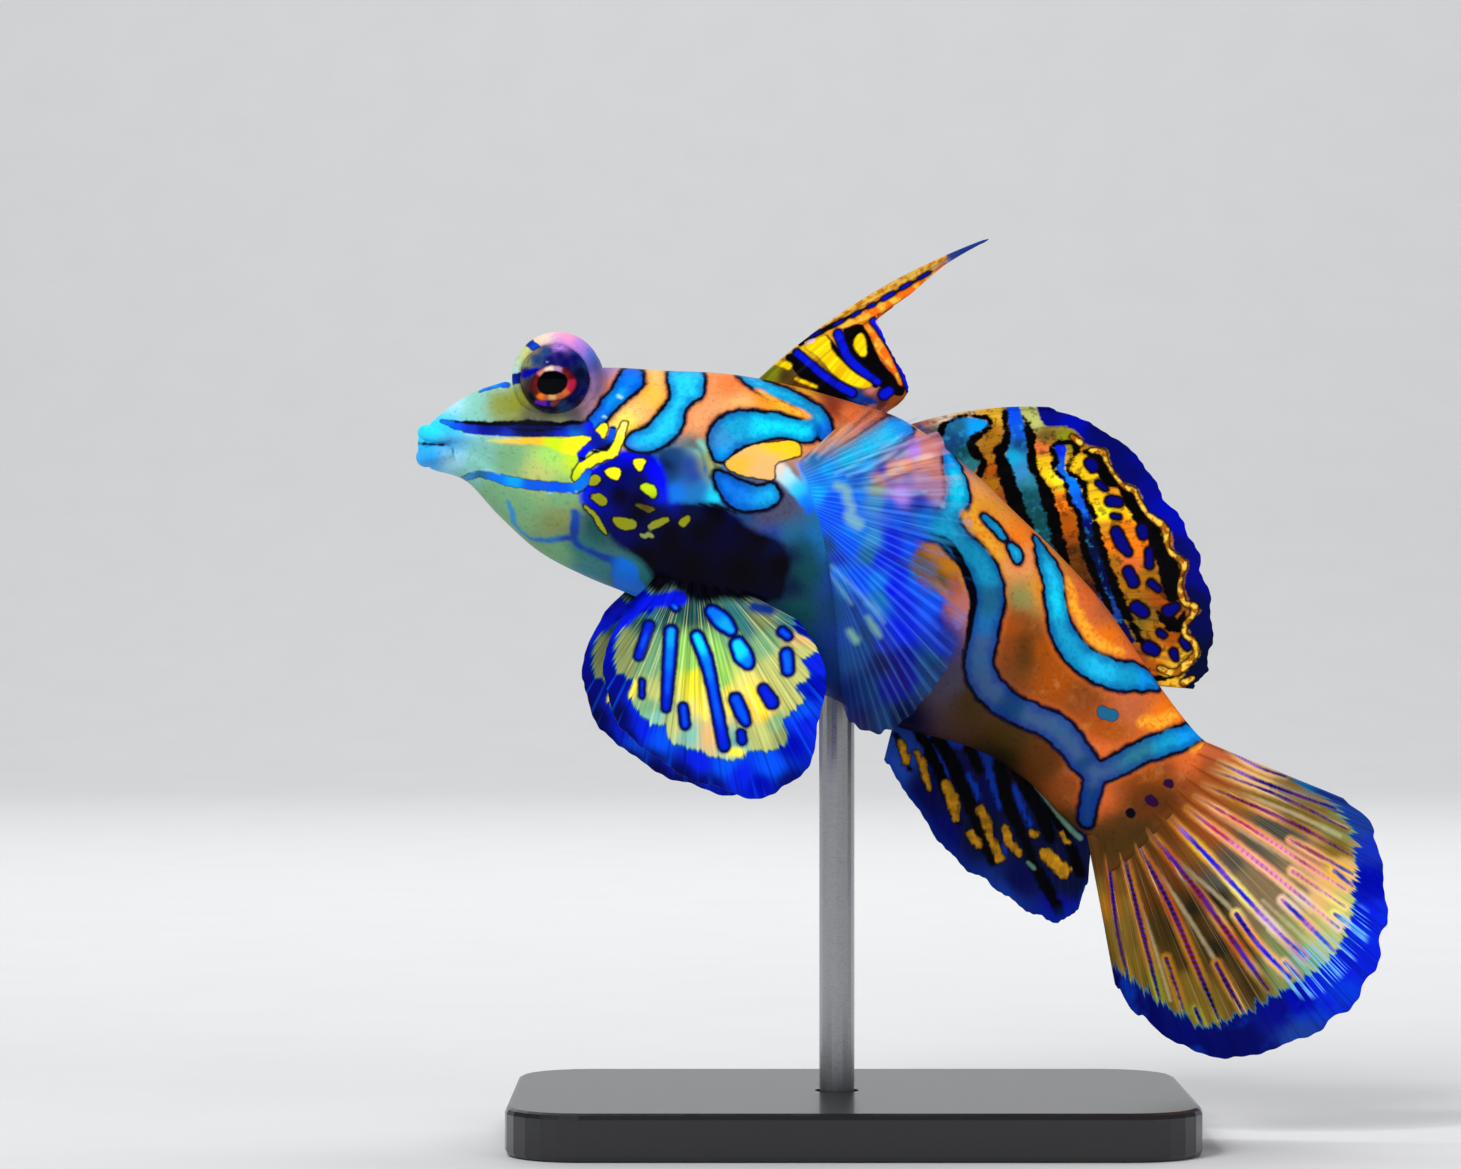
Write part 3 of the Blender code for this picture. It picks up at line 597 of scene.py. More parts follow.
# Strokes and areas of the skin's marks, drawn in this order over the wash
skinMarks = {
    "soft": (
        ((508, 502, 4), (512, 512, 7), (515, 525, 8), (534, 540, 6), (572, 538, 7)),
        ((574, 512, 7), (576, 520, 11), (574, 540, 8), (585, 549, 7), (615, 562, 10)),
        ((612, 558), (628, 560), (637, 568), (639, 578), (646, 588), (640, 597), (624, 595), (614, 586)),
        ((520, 546, 3), (545, 560, 3), (575, 575, 4), (610, 588, 4)),
        ((698, 441, 4), (706, 448, 9), (710, 460, 11), (712, 474, 7)), ((712, 464, 4), (719, 464, 5)),
        # a painted highlight along the gill pouch's lower edge
        ((690, 501, 4), (716, 497, 9), (724, 490, 9), (724, 484, 4)),
        ((660, 452), (680, 447), (698, 450), (703, 460), (704, 474), (712, 482), (712, 492), (698, 499),
         (674, 501), (668, 488), (662, 472)),
        ((906, 548), (920, 543), (938, 547), (950, 557), (958, 573), (967, 608), (962, 626), (955, 628),
         (952, 606), (947, 592), (934, 577), (914, 563)),
        # a painted highlight at the pectoral fin's root, palest at its top
        ((771, 462, 10), (780, 470, 16), (799, 491, 16), (810, 509, 7)),
        ((797, 463), (812, 462), (822, 470), (828, 482), (834, 498), (856, 524), (862, 532), (850, 534),
         (835, 530), (822, 522), (813, 508), (801, 478)),
    ),
    # the fish's dark navy area, whose lower part is painted shadow under the gill cover and above the pelvic
    # fin
    "dark": (
        ((586, 474), (604, 461), (616, 456), (622, 450), (645, 451), (654, 456), (662, 470), (667, 486),
         (669, 502), (685, 504), (722, 507), (748, 528), (778, 541), (787, 553), (789, 568), (785, 580),
         (783, 592), (776, 600), (735, 606), (700, 612), (655, 606), (652, 590), (653, 576), (640, 558),
         (616, 543), (601, 522), (584, 504), (581, 494)),
    ),
    "sky": (
        ((625, 370), (640, 370), (642, 384), (633, 393), (612, 412), (594, 433), (587, 431), (586, 424),
         (596, 412), (604, 400), (613, 390)),
        ((670, 370), (700, 370), (703, 386), (700, 397), (690, 403), (684, 412), (681, 426), (673, 438),
         (660, 447), (645, 451), (630, 449), (626, 442), (633, 433), (648, 427), (665, 407), (671, 394)),
        ((738, 374), (752, 374), (770, 384), (790, 391), (819, 407), (829, 420), (831, 434), (822, 440),
         (816, 428), (806, 414), (790, 404), (770, 396), (752, 386)),
        ((709, 440), (714, 426), (726, 416), (745, 412), (782, 416), (800, 421), (815, 420), (818, 432),
         (808, 441), (775, 437), (739, 448), (728, 458), (717, 460)),
        ((716, 471), (738, 481), (756, 487), (770, 485), (778, 489), (778, 499), (768, 507), (750, 510),
         (735, 508), (724, 498), (717, 486)),
        ((810, 464), (830, 455), (850, 443), (885, 420), (906, 417), (913, 428), (906, 438), (888, 448),
         (850, 473), (832, 480), (818, 476)),
        ((948, 446, 8), (950, 458, 18), (957, 490, 26), (954, 505, 22), (946, 516, 20)),
        ((884, 520, 28), (905, 520, 29), (942, 527, 29), (960, 544, 28), (978, 560, 28), (987, 580, 27),
         (990, 600, 27), (987, 620, 26), (979, 660, 26), (984, 680, 27), (1000, 700, 26), (1020, 712, 25),
         (1040, 720, 24), (1060, 732, 26), (1085, 762, 22), (1098, 772, 20), (1116, 766, 20), (1138, 754, 20),
         (1180, 738, 22), (1197, 732, 14)),
        ((1096, 772, 18), (1091, 790, 16), (1086, 822, 13)),
        ((1036, 538, 6), (1047, 562, 21), (1053, 580, 21), (1059, 620, 22), (1067, 640, 25), (1080, 656, 26),
         (1100, 669, 27), (1120, 676, 27), (1140, 677, 25), (1153, 682, 14)),
        ((985, 518, 6), (992, 525, 9), (1003, 537, 7)), ((1011, 547, 8), (1016, 553, 10), (1017, 559, 7)),
    ),
    "gold": (
        ((725, 464), (742, 450), (756, 445), (788, 441), (799, 445), (799, 455), (777, 463), (772, 479),
         (748, 476), (734, 472)),
        ((575, 478, 6), (583, 467, 11), (600, 457, 9), (611, 453, 10), (617, 446, 9), (625, 423, 6)),
        ((603, 424), (608, 427), (604, 438), (595, 432)),
        ((590, 477), (597, 475), (601, 480), (596, 485), (589, 484)),
        ((605, 471), (612, 468), (620, 470), (621, 476), (617, 480), (609, 477)),
        ((633, 461), (640, 458), (646, 461), (639, 471)),
        ((590, 497), (598, 494), (605, 498), (607, 504), (600, 505)),
        ((640, 488), (646, 483), (654, 486), (657, 494), (652, 498)),
        ((636, 504), (655, 508), (650, 512), (641, 509)),
        ((612, 518), (632, 520), (637, 525), (633, 529), (621, 529)),
        ((648, 526), (655, 520), (668, 518), (668, 522), (652, 530)),
        ((679, 524), (683, 518), (690, 516), (690, 522), (684, 527)), ((641, 536, 4), (652, 535, 5)),
        ((576, 489, 5), (581, 488, 6)), ((585, 506, 3), (594, 515, 4), (606, 534, 3)),
    ),
    "bar": (
        ((488, 440), (520, 438), (545, 437), (565, 438), (588, 434), (592, 442), (572, 455), (550, 448),
         (535, 445), (500, 443)),
    ),
    "glow": (
        ((964, 514, 8), (974, 524, 13), (997, 553, 9)),
        ((758, 390, 4), (778, 402, 8), (798, 412, 9), (808, 416, 5)),
        ((1068, 580, 8), (1074, 605, 12), (1086, 628, 12), (1100, 644, 12), (1122, 652, 9)),
        ((1142, 722, 10), (1160, 722, 13), (1174, 714, 9)), ((1192, 752, 4), (1202, 744, 4)),
        ((915, 420, 7), (935, 421, 9), (950, 415, 6)),
    ),
    "line": (
        ((441, 422), (450, 420), (462, 422), (500, 423), (530, 422), (578, 423), (587, 420), (592, 424),
         (594, 432), (590, 435), (550, 436), (520, 436), (474, 434)),
        ((594, 434, 5), (596, 442, 9), (584, 452, 8), (582, 457, 7)),
        ((597, 444, 11), (604, 445, 8), (609, 441, 7), (613, 429, 5)),
        ((481, 390, 5), (491, 387, 9), (524, 376, 9), (544, 369, 8)), ((527, 340, 8), (544, 355, 6)),
        ((463, 480, 5), (480, 474, 7), (505, 480, 9), (535, 485, 9), (565, 488, 10), (577, 487, 10),
         (584, 481, 9), (588, 473, 7)),
        ((1103, 712, 12), (1112, 716, 12)), ((1168, 783, 7), (1171, 785, 6)),
        ((1150, 800, 8), (1155, 803, 6)), ((1130, 812, 7), (1131, 815, 7)),
    ),
    "ink": (
        ((455, 421, 2), (490, 424, 5), (520, 423, 6), (550, 424, 5), (578, 423, 4), (589, 420, 3)),
        # the stroke at the mouth, at the end of this line, is painted shade in the gap between the lips
        ((508, 429, 1), (530, 430, 3), (562, 429, 1)), ((412, 443, 3), (443, 445, 2)),
        ((580, 458, 4), (584, 459, 4)), ((592, 451, 3), (606, 449, 4), (610, 444, 3)),
        ((611, 428, 2), (615, 427, 2)),
        ((903, 542, 2), (914, 537, 5), (930, 536, 7), (945, 542, 8), (957, 555, 8), (972, 592, 9),
         (969, 632, 6), (963, 652, 3)),
        ((700, 504, 1.5), (720, 507, 2), (736, 512, 1.5)),
    ),
    # thin pale lines, and short pale dabs that are painted glints on the blue bands and the eye's dome
    "pale": (
        ((466, 435, 1), (520, 438, 1)), ((545, 493, 1), (576, 493, 1)),
        ((470, 472, 1), (486, 470, 1.5), (500, 474, 1)), ((936, 500, 6), (942, 505, 8)),
        ((516, 351, 4), (518, 354, 4)), ((603, 416, 2), (606, 416, 2)), ((619, 396, 3), (622, 398, 3)),
    ),
}


# The skin's fields and washes at any points of the model, read from the left flank and mirrored to the right
# The marks' fields and the washes at points of the skin: both flanks take those of the left one
def skinLook(points, flat=False):
    folded = points * foldSigns(points)
    views = seen(folded)
    fields = layerFields(skinMarks, views) if flat else layerFields(skinMarks, views, folded, ontoFlank)
    washes = {name: washOver(views, table, washBlend["mark"]) for name, table in markWashes.items()}
    washes["wash"] = washOver(views, skinWash, washBlend["skin"])
    return fields, washes


# The wash with a fine mottle, the layers of marks in their order over it, and pores as relief
def makeSkinMaterial():
    skin = Finish("skin", Specular_IOR_Level=0.03, Coat_Weight=0.03, Coat_Roughness=0.12)
    grain = skin.noise(3.4, 3.0, 0.6)
    wander = (skin.noise(1.3, 2.0) - 0.5) * 0.3 + (grain - 0.5) * 0.12
    mottle = skin.noise(1.1, 4.0, 0.62)
    field = {name: skin.field(name) + wander for name in skinMarks}
    colour = skin.wash("wash")
    red = skin.node("ShaderNodeSeparateColor", {}, {"Color": colour}, 0)
    blue = skin.node("ShaderNodeSeparateColor", {}, {"Color": colour}, 2)
    warm = skin.step(red - blue, 0.1, 0.4)
    colour = skin.mix(skin.step(mottle, 0.5, 0.75) * 0.16 * warm, colour, tint(255, 190, 110))
    colour = skin.fade(colour, skin.mix(0.75, colour, (0.0, 0.0, 0.0)), grain, 0.5, 0.25, 0.35)
    colour = skin.mix(skin.step(field["sky"], 0.8, 0.3) * 0.4 * warm, colour, tint(225, 105, 35))
    # soft marks, among them painted highlights on the gill pouch and at the pectoral fin's root
    colour = skin.mark(colour, field["soft"], skin.wash("softAndHighlightWash"), 0.2)
    # the dark area: dark navy, and painted shadow in its lower part between the belly and the pelvic fin
    colour = skin.mark(colour, field["dark"] - 0.1, skin.wash("darkAndShadowWash"), 0.32)
    speckled = skin.fade(skin.wash("skyWash"), tint(5, 90, 130), grain, 0.55, 0.3, 0.35)
    rim = skin.mix(0.6, skin.wash("skyWash"), tint(0, 42, 140))
    streaks = skin.noise(1.6, 3.0, 0.6)
    core = skin.fade(rim, speckled, field["sky"] + (streaks - 0.5) * 0.9, 0.0, -0.7)
    outline = skin.fade(tint(3, 3, 12), tint(10, 12, 50), mottle, 0.35, 0.65)
    colour = skin.mark(colour, field["sky"] - (mottle - 0.5) * 0.25, core, 0.09, outline, 0.3, 0.15)
    colour = skin.mark(colour, field["bar"], skin.wash("goldWash"), 0.12)
    colour = skin.mark(colour, field["gold"], skin.wash("goldWash"), 0.07, tint(8, 6, 25), 0.12, 0.1)
    flame = skin.fade(tint(250, 125, 30), tint(255, 180, 50), grain, 0.3, 0.6)
    colour = skin.mark(colour, field["glow"], flame, 0.3)
    colour = skin.mark(colour, field["line"], skin.wash("lineWash"), 0.07, tint(5, 5, 40), 0.05, 0.08)
    # ink marks, with painted shade along the mouth's gap
    colour = skin.mark(colour, field["ink"], tint(3, 3, 14), 0.1)
    # pale lines and painted glints
    colour = skin.mark(colour, field["pale"], tint(150, 205, 225), 0.12)
    pores = skin.node("ShaderNodeTexVoronoi", {}, {"Vector": skin.place, "Scale": 2.6 / mm})
    height = skin.step(pores, 0.0, 0.35) * 0.4 + skin.noise(5.0, 3.0, 0.6) * 0.5 + mottle * 0.8
    wet = 0.3 + grain * 0.2
    relief = skin.bump(height, 0.04, 0.5)
    return skin.wear(Base_Color=colour, Roughness=wet, Normal=relief)


skinMaterial = makeSkinMaterial()
skinNodes = ("head", "jaw", "trunk", "tail_stalk")
makePiece("skin", skinPoints, skinFaces, skinMaterial, "flank_skin", skinNodes, *skinLook(skinPoints))
print("skin made:", len(skinPoints), "points")


# Two unit directions square to an aim, the first level
def squareTo(aim):
    level = unit(np.cross(aim, (0.0, 0.0, 1.0)))
    return level, np.cross(level, aim)


# A surface of revolution: each profile row gives how far along the aim and how far out from it, closed round
def turned(centre, aim, profile, around):
    profile = np.asarray(profile, float)
    level, up = squareTo(aim)
    turn = np.linspace(0.0, 2 * np.pi, around, endpoint=False)
    spoke = np.cos(turn)[:, None] * level + np.sin(turn)[:, None] * up
    return centre + profile[:, None, 0:1] * aim + profile[:, None, 1:2] * spoke


# The dome's centre, the eye's aim, and the eyeball's centre a little out along it
def eyeFrame(side):
    mirror = (1.0, -side, 1.0)
    aim, dome = unit(np.array(eye["aim"]) * mirror), np.array(eye["domeCentre"]) * mirror
    return dome, aim, dome + aim * eye["outward"]


lid = {
    # along the aim and out from it: up the dome, over a round rim and in to the eyeball
    "profile": (
        (-0.55, 2.86), (0.3, 3.0), (0.8, 2.98), (1.12, 2.88), (1.32, 2.72), (1.42, 2.54), (1.38, 2.36),
        (1.2, 2.2),
    ),
    "rows": 36,
    "around": 120,
    "folds": ((0.035, 9, 1.0), (0.02, 23, 0.0)),  # height, count and start of the rim's waves
    "thickness": 0.1,
    "innerShare": 0.93,
}


# A ring about the aim: its profile out and back, lifted along the aim by waves that grow toward the rim
def makeEyelid(name, side):
    dome, aim, _ = eyeFrame(side)
    rows = smoothRows(lid["profile"], np.linspace(0.0, len(lid["profile"]) - 1.0, lid["rows"]))
    shell = turned(dome, aim, rows, lid["around"])
    turn = np.linspace(0.0, 2 * np.pi, lid["around"], endpoint=False)
    folds = sum(height * np.sin(count * turn + start) for height, count, start in lid["folds"])
    shell += (folds * np.linspace(0.0, 1.0, len(rows))[:, None])[..., None] * aim
    back = rows[::-1] * (1.0, lid["innerShare"]) - (lid["thickness"], 0.0)
    grid = np.concatenate((shell, turned(dome, aim, back, lid["around"])))
    points = grid.reshape(-1, 3)
    faces = gridFaces(len(grid), lid["around"], True, True)
    makePiece(name, points, faces, skinMaterial, "head_skin", (), *skinLook(points, True))


# The iris's paints, the ring's and the marks on the eyeball
irisWash = {
    "ink": ((529, 402), (532, 396)), "midnight": ((581, 372), (578, 404), (553, 412), (541, 408)),
    "deepNavy": ((590, 380), (575, 388), (572, 398)),
    "navy": ((560, 355), (575, 358), (583, 392), (525, 372), (565, 362), (550, 360)), "bark": ((522, 392),),
    "maroon": ((528, 388),), "petrol": ((546, 351), (537, 358), (588, 366), (566, 410)),
    "dusk": ((578, 349),), "slate": ((591, 396), (588, 405), (575, 414), (531, 413)),
    "stone": ((520, 381), (560, 418), (545, 418)), "mud": ((534, 350),), "kingfisher": ((588, 349),),
    # the lilac and pink at the iris's top are a painted sheen
    "sage": ((524, 363),), "lilac": ((560, 346),), "pink": ((545, 337), (570, 337)),
}
ringAndHighlightWash = {
    "wine": ((534, 386), (536, 378), (566, 370), (572, 376), (536, 392)), "crimson": ((574, 383), (571, 389)),
    # the rose, mauve and cream at the ring's top are painted highlight
    "clay": ((560, 397), (546, 398)), "rose": ((541, 372),), "coral": ((566, 393),), "mauve": ((558, 368),),
    "tangerine": ((541, 397),), "sand": ((552, 398),), "cream": ((549, 368),),
}
eyeMarks = {
    "ring": (
        ((532, 386), (535, 376), (543, 369), (553, 366), (564, 368), (572, 374), (576, 382), (574, 389),
         (568, 395), (560, 399), (550, 400), (541, 400), (535, 395)),
    ),
    "pupil": (
        ((537, 384), (540, 376), (547, 371), (557, 371), (565, 375), (568, 381), (565, 389), (558, 394),
         (547, 395), (540, 392)),
    ),
    "violet": (((537, 402, 4), (545, 403, 6)),),
    "blue": (
        ((549, 403, 6), (552, 402, 5)), ((526, 404, 4), (529, 410, 6), (532, 417, 5)),
        ((524, 375, 7), (537, 370, 5)),
    ),
    "rust": (((553, 404, 5), (558, 399, 5)),),
}


# A flecked dark iris, its marks, the ring about the pupil and the pupil
def makeEyeMaterial():
    coat = Finish("eye", Roughness=0.2, Coat_Weight=0.08, Coat_Roughness=0.03, Specular_IOR_Level=0.02)
    grain = coat.noise(3.0, 4.0, 0.65)
    fine = coat.noise(9.0, 2.0)
    field = {name: coat.field(name) + (grain - 0.5) * 0.16 for name in eyeMarks}
    iris = coat.fade(coat.wash("iris"), tint(3, 3, 20), grain, 0.55, 0.3, 0.5)
    iris = coat.fade(iris, tint(90, 110, 190), fine, 0.62, 0.8, 0.25)
    iris = coat.mark(iris, field["violet"], tint(110, 30, 190), 0.1)
    iris = coat.mark(iris, field["blue"], tint(4, 4, 150), 0.12)
    iris = coat.mark(iris, field["rust"], tint(140, 50, 40), 0.1)
    # the ring, paler at its top by painted highlight
    iris = coat.mark(iris, field["ring"], coat.wash("ringAndHighlightWash"), 0.12, tint(20, 3, 30), 0.08)
    iris = coat.mark(iris, field["pupil"], tint(1, 2, 5), 0.07)
    return coat.wear(Base_Color=iris)


# A ball of rings about the eye's aim
def makeEyeball(name, side, material):
    _, aim, centre = eyeFrame(side)
    turn = np.linspace(0.0, np.pi, eye["rings"])[1:-1]
    profile = np.stack((np.cos(turn), np.sin(turn)), 1) * eye["radius"]
    points, faces = closedRings(turned(centre, aim, profile, eye["around"]))
    views = seen(points * (1.0, -side, 1.0))
    fields = layerFields(eyeMarks, views)
    iris, ring = washOver(views, irisWash, washBlend["iris"]), washOver(views, ringAndHighlightWash, washBlend["ring"])
    node = "eye_left" if side < 0 else "eye_right"
    makePiece(name, points, faces, material, "eye", (node,), fields, {"iris": iris, "ringAndHighlightWash": ring})


eyeMaterial = makeEyeMaterial()
for side, label in ((-1.0, "left"), (1.0, "right")):
    makeEyelid("eyelid_" + label, side)
    makeEyeball("eyeball_" + label, side, eyeMaterial)
print("eyes made")

lips = {
    "cornerX": -26.9,
    "reach": 1.93,
    "halfWidth": 1.8,
    "cornerShare": 0.45,  # of the radius, at the corners of the mouth
    "wrinkles": (0.03, 31),  # height as a share of the radius, and count
    "grid": (90, 40),
    "upper": (47.87, 0.55, -0.35),  # height, radius and how much higher the corners lie
    "lower": (46.22, 0.66, 0.3),
}


# A tube carried along a half oval round the snout, thinner at the corners of the mouth
def makeLip(name, height, radius, lift):
    rings, columns = lips["grid"]
    turn = np.linspace(-np.pi / 2, np.pi / 2, rings)
    x = lips["cornerX"] - lips["reach"] * np.cos(turn)
    spine = np.stack((x, lips["halfWidth"] * np.sin(turn), height + lift * np.sin(turn) ** 2), -1)
    along = unit(np.gradient(spine, axis=0))
    out = np.stack((along[:, 1], -along[:, 0], np.zeros(len(turn))), -1)
    out *= np.where(out[:, :1] * -np.cos(turn)[:, None] > 0, 1.0, -1.0)
    over = np.cross(out, along)
    share, (bulge, count) = lips["cornerShare"], lips["wrinkles"]
    taper = share + (1.0 - share) * np.cos(turn).clip(0.0) ** 0.5
    width = radius * taper * (1.0 + bulge * np.sin(count * turn))
    around = np.linspace(0.0, 2 * np.pi, columns, endpoint=False)
    ring = np.cos(around)[None, :, None] * out[:, None] + np.sin(around)[None, :, None] * over[:, None]
    points, faces = closedRings(spine[:, None] + ring * width[:, None, None])
    makePiece(name, points, faces, skinMaterial, "lip_skin", (), *skinLook(points, True))


makeLip("lip_upper", *lips["upper"])
makeLip("lip_lower", *lips["lower"])
print("lips made")

# Each fin: its slot, number of rays, rows and columns, thickness of membrane and rays, half thickness of a
# fleshy foot, height and count of its wave, bend of its first ray in x and z, depth of the scallops between
# rays, margin, and how far the right one stands off its mirror place
fins = {
    "firstDorsal": {
        "slot": "gold_fin", "rays": 4, "grid": (90, 110), "thickness": (0.16, 0.55), "foot": 0.0,
        "wave": (0.5, 1.0), "bow": (-0.5, 0.95), "scallop": 0.25,
        "margin": ((9.5, 0.0, 61.1), (6.7, 0.0, 59.5), (4.4, 0.0, 57.6), (2.7, 0.0, 56.4), (1.9, 0.0, 55.8),
            (2.5, 0.0, 54.2), (3.4, 0.0, 52.4), (4.2, 0.0, 50.9), (3.4, 0.0, 50.1)),
    },
    "secondDorsal": {
        "slot": "gold_fin", "rays": 9, "grid": (120, 190), "thickness": (0.14, 0.4), "foot": 0.0,
        "wave": (0.7, 1.5), "bow": (0.0, 0.55), "scallop": 0.3,
        "margin": ((13.7, 0.0, 49.6), (16.7, 0.0, 48.5), (19.4, 0.0, 46.6), (21.3, 0.0, 43.9),
            (23.1, 0.0, 41.1), (24.3, 0.0, 38.0), (24.8, 0.0, 34.6), (24.5, 0.0, 31.9), (23.4, 0.0, 30.5)),
    },
    "anal": {
        "slot": "blue_fin", "rays": 8, "grid": (110, 180), "thickness": (0.14, 0.4), "foot": 0.0,
        "wave": (-0.6, 1.5), "bow": (0.0, 0.0), "scallop": 0.3,
        "margin": ((2.3, 0.0, 25.5), (3.7, 0.0, 23.4), (5.8, 0.0, 20.3), (7.9, 0.0, 18.1), (10.1, 0.0, 16.6),
            (12.1, 0.0, 15.2), (13.9, 0.0, 14.5), (15.4, 0.0, 15.4), (16.1, 0.0, 17.3)),
    },
    "tail": {
        "slot": "tail_membrane", "rays": 11, "grid": (170, 220), "thickness": (0.14, 0.5), "foot": 0.5,
        "wave": (0.8, 1.5), "bow": (0.0, 0.0), "scallop": 0.4,
        "margin": ((33.7, 0.0, 22.9), (35.8, 0.0, 21.0), (36.5, 0.0, 17.5), (36.6, 0.0, 14.1),
            (35.4, 0.0, 10.7), (33.0, 0.0, 7.8), (29.6, 0.0, 6.2), (26.0, 0.0, 5.1), (22.3, 0.0, 6.2),
            (19.4, 0.0, 8.3), (18.1, 0.0, 10.3)),
    },
    "pelvic": {
        "slot": "blue_fin", "rays": 7, "grid": (120, 190), "thickness": (0.14, 0.5), "foot": 0.0,
        "wave": (0.3, 2.0), "bow": (0.0, 0.0), "scallop": 0.35,
        "margin": ((-15.0, -5.5, 36.1), (-16.4, -6.4, 33.5), (-16.6, -7.2, 30.6), (-15.3, -7.8, 27.8),
            (-12.8, -8.2, 25.8), (-9.5, -8.5, 23.9), (-5.6, -8.6, 23.4), (-3.0, -8.3, 25.3),
            (-2.0, -7.8, 28.6), (-1.8, -7.0, 32.3), (-3.5, -6.3, 35.1)),
        "rightShift": (-1.8, 0.0, -0.5),
    },
    "pectoral": {
        "slot": "clear_fin", "rays": 20, "grid": (100, 240), "thickness": (0.1, 0.15), "foot": 0.0,
        "wave": (0.3, 2.0), "bow": (0.0, 0.0), "scallop": 0.2,
        "margin": ((0.9, -7.6, 49.8), (4.8, -8.6, 48.5), (7.0, -9.2, 45.3), (8.0, -9.4, 41.2),
            (8.0, -9.4, 36.9), (6.9, -9.2, 33.2), (4.8, -8.8, 29.9), (2.2, -8.2, 27.7), (-0.2, -7.6, 28.4),
            (-1.0, -7.0, 31.2)),
        "rightShift": (0.0, 0.0, 0.0),
    },
}
# Station and angle from the back in degrees of a root's two ends, and its lift off the skin; the tail's root
# starts and runs by shares of the stalk's end, one depth inside it at the back and two at the belly
finRoots = {
    "tail": (0.03, 0.89, 1.3),
    "firstDorsal": ((7.4, 0.0), (9.5, 0.0), -0.9),
    "secondDorsal": ((9.85, 0.0), (15.5, 0.0), -0.9),
    "anal": ((10.9, 180.0), (16.6, 180.0), -0.9),
    "pectoral": ((8.4, 60.0), (9.3, 100.0), -0.1),
    "pelvic": ((6.4, 138.0), (7.7, 124.0), -0.3),
}


# The root's line on the skin, a little under it; the tail's lies inside the end of its stalk
def rootLine(kind, across):
    if kind == "tail":
        back, belly = np.array(body["stations"][-1][0:2]), np.array(body["stations"][-1][2:4])
        inward = unit(np.array((belly[1] - back[1], back[0] - belly[0])))
        start, run, depth = finRoots[kind]
        share = across[:, None]
        line = back + (belly - back) * (start + run * share) + inward * (depth + depth * share**2)
        return np.stack((line[:, 0], np.zeros(len(across)), line[:, 1]), -1)
    (first, firstAngle), (last, lastAngle), lift = finRoots[kind]
    angle = np.radians(firstAngle + (lastAngle - firstAngle) * across)
    return bodyPoints(first + (last - first) * across, angle, lift)


# What fins share: scallops made uneven by the product of two sines, and a margin frayed by three
finEdge = {
    "scallop": (0.7, 0.5, 5.3, 2.1),  # shares of the depth, and how fast the sines turn per ray
    "fray": ((0.5, 61, 1.0), (0.3, 137, 2.0), (0.35, 211, 0.0)),  # height, turns and start
    "frayShare": 0.25,  # of the scallop
    "rayPower": 10,  # the higher, the narrower the rays
    "rayTaper": 0.75,
    "footReach": 0.17,  # of the way out
}


# Out from root to margin in straight rays, moved sideways by a sine wave that grows with the square of out;
# the margin is drawn in between rays by sin^2, unevenly, and frayed by three sines
def finSurface(kind):
    fin = fins[kind]
    rows, columns = fin["grid"]
    out, across = np.linspace(0.0, 1.0, rows), np.linspace(0.0, 1.0, columns)
    tip = smoothRows(fin["margin"], across * (len(fin["margin"]) - 1))
    root = rootLine(kind, across)
    between = np.sin(np.pi * fin["rays"] * across) ** 2  # nothing on a ray, one between two
    least, more, fast, slow = finEdge["scallop"]
    uneven = least + more * np.sin(fast * fin["rays"] * across + 1.0) * np.sin(slow * fin["rays"] * across)
    frayed = sum(size * np.sin(turns * across + start) for size, turns, start in finEdge["fray"])
    length = np.linalg.norm(tip - root, axis=1, keepdims=True)
    inset = (between * uneven + (1.0 + frayed) * finEdge["frayShare"]) * fin["scallop"]
    tip = tip - (tip - root) / length * inset[:, None]
    o = out[:, None, None]
    mid = root * (1 - o) + tip * o
    height, count = fin["wave"]
    mid[..., 1] += height * np.sin(2 * np.pi * count * across) * out[:, None] ** 2
    bend = 4 * out[:, None] * (1 - out[:, None]) * (1 - across) ** 3
    mid[..., 0] += fin["bow"][0] * bend
    mid[..., 2] += fin["bow"][1] * bend
    membrane, ray = fin["thickness"]
    ridge = np.abs(np.cos(np.pi * fin["rays"] * across)) ** finEdge["rayPower"]
    half = (membrane + (ray - membrane) * ridge * (1 - finEdge["rayTaper"] * out[:, None])) / 2
    half += fin["foot"] * np.exp(-((out[:, None] / finEdge["footReach"]) ** 2))
    return mid, half, np.broadcast_to(across, mid.shape[:2]), np.broadcast_to(out[:, None], mid.shape[:2])


# Both faces of a sheet stand off its middle along its normal, and narrow faces close the edge
def thicken(mid, half):
    normal = unit(np.cross(np.gradient(mid, axis=0), np.gradient(mid, axis=1)))
    rows, columns = mid.shape[:2]
    edge = np.ones((rows, columns))
    edge[[0, -1]] *= 0.5
    edge[:, [0, -1]] *= 0.5
    shift = normal * (half * edge)[..., None]
    front, back = (mid + shift).reshape(-1, 3), (mid - shift).reshape(-1, 3)
    faces = gridFaces(rows, columns)
    n = rows * columns
    index = np.arange(n).reshape(rows, columns)
    loop = np.concatenate((index[0], index[1:, -1], index[-1, -2::-1], index[-2:0:-1, 0]))
    follow = np.roll(loop, -1)
    sides = np.stack((loop, loop + n, follow + n, follow), -1)
    return np.concatenate((front, back)), np.concatenate((faces[:, ::-1], faces + n, sides))


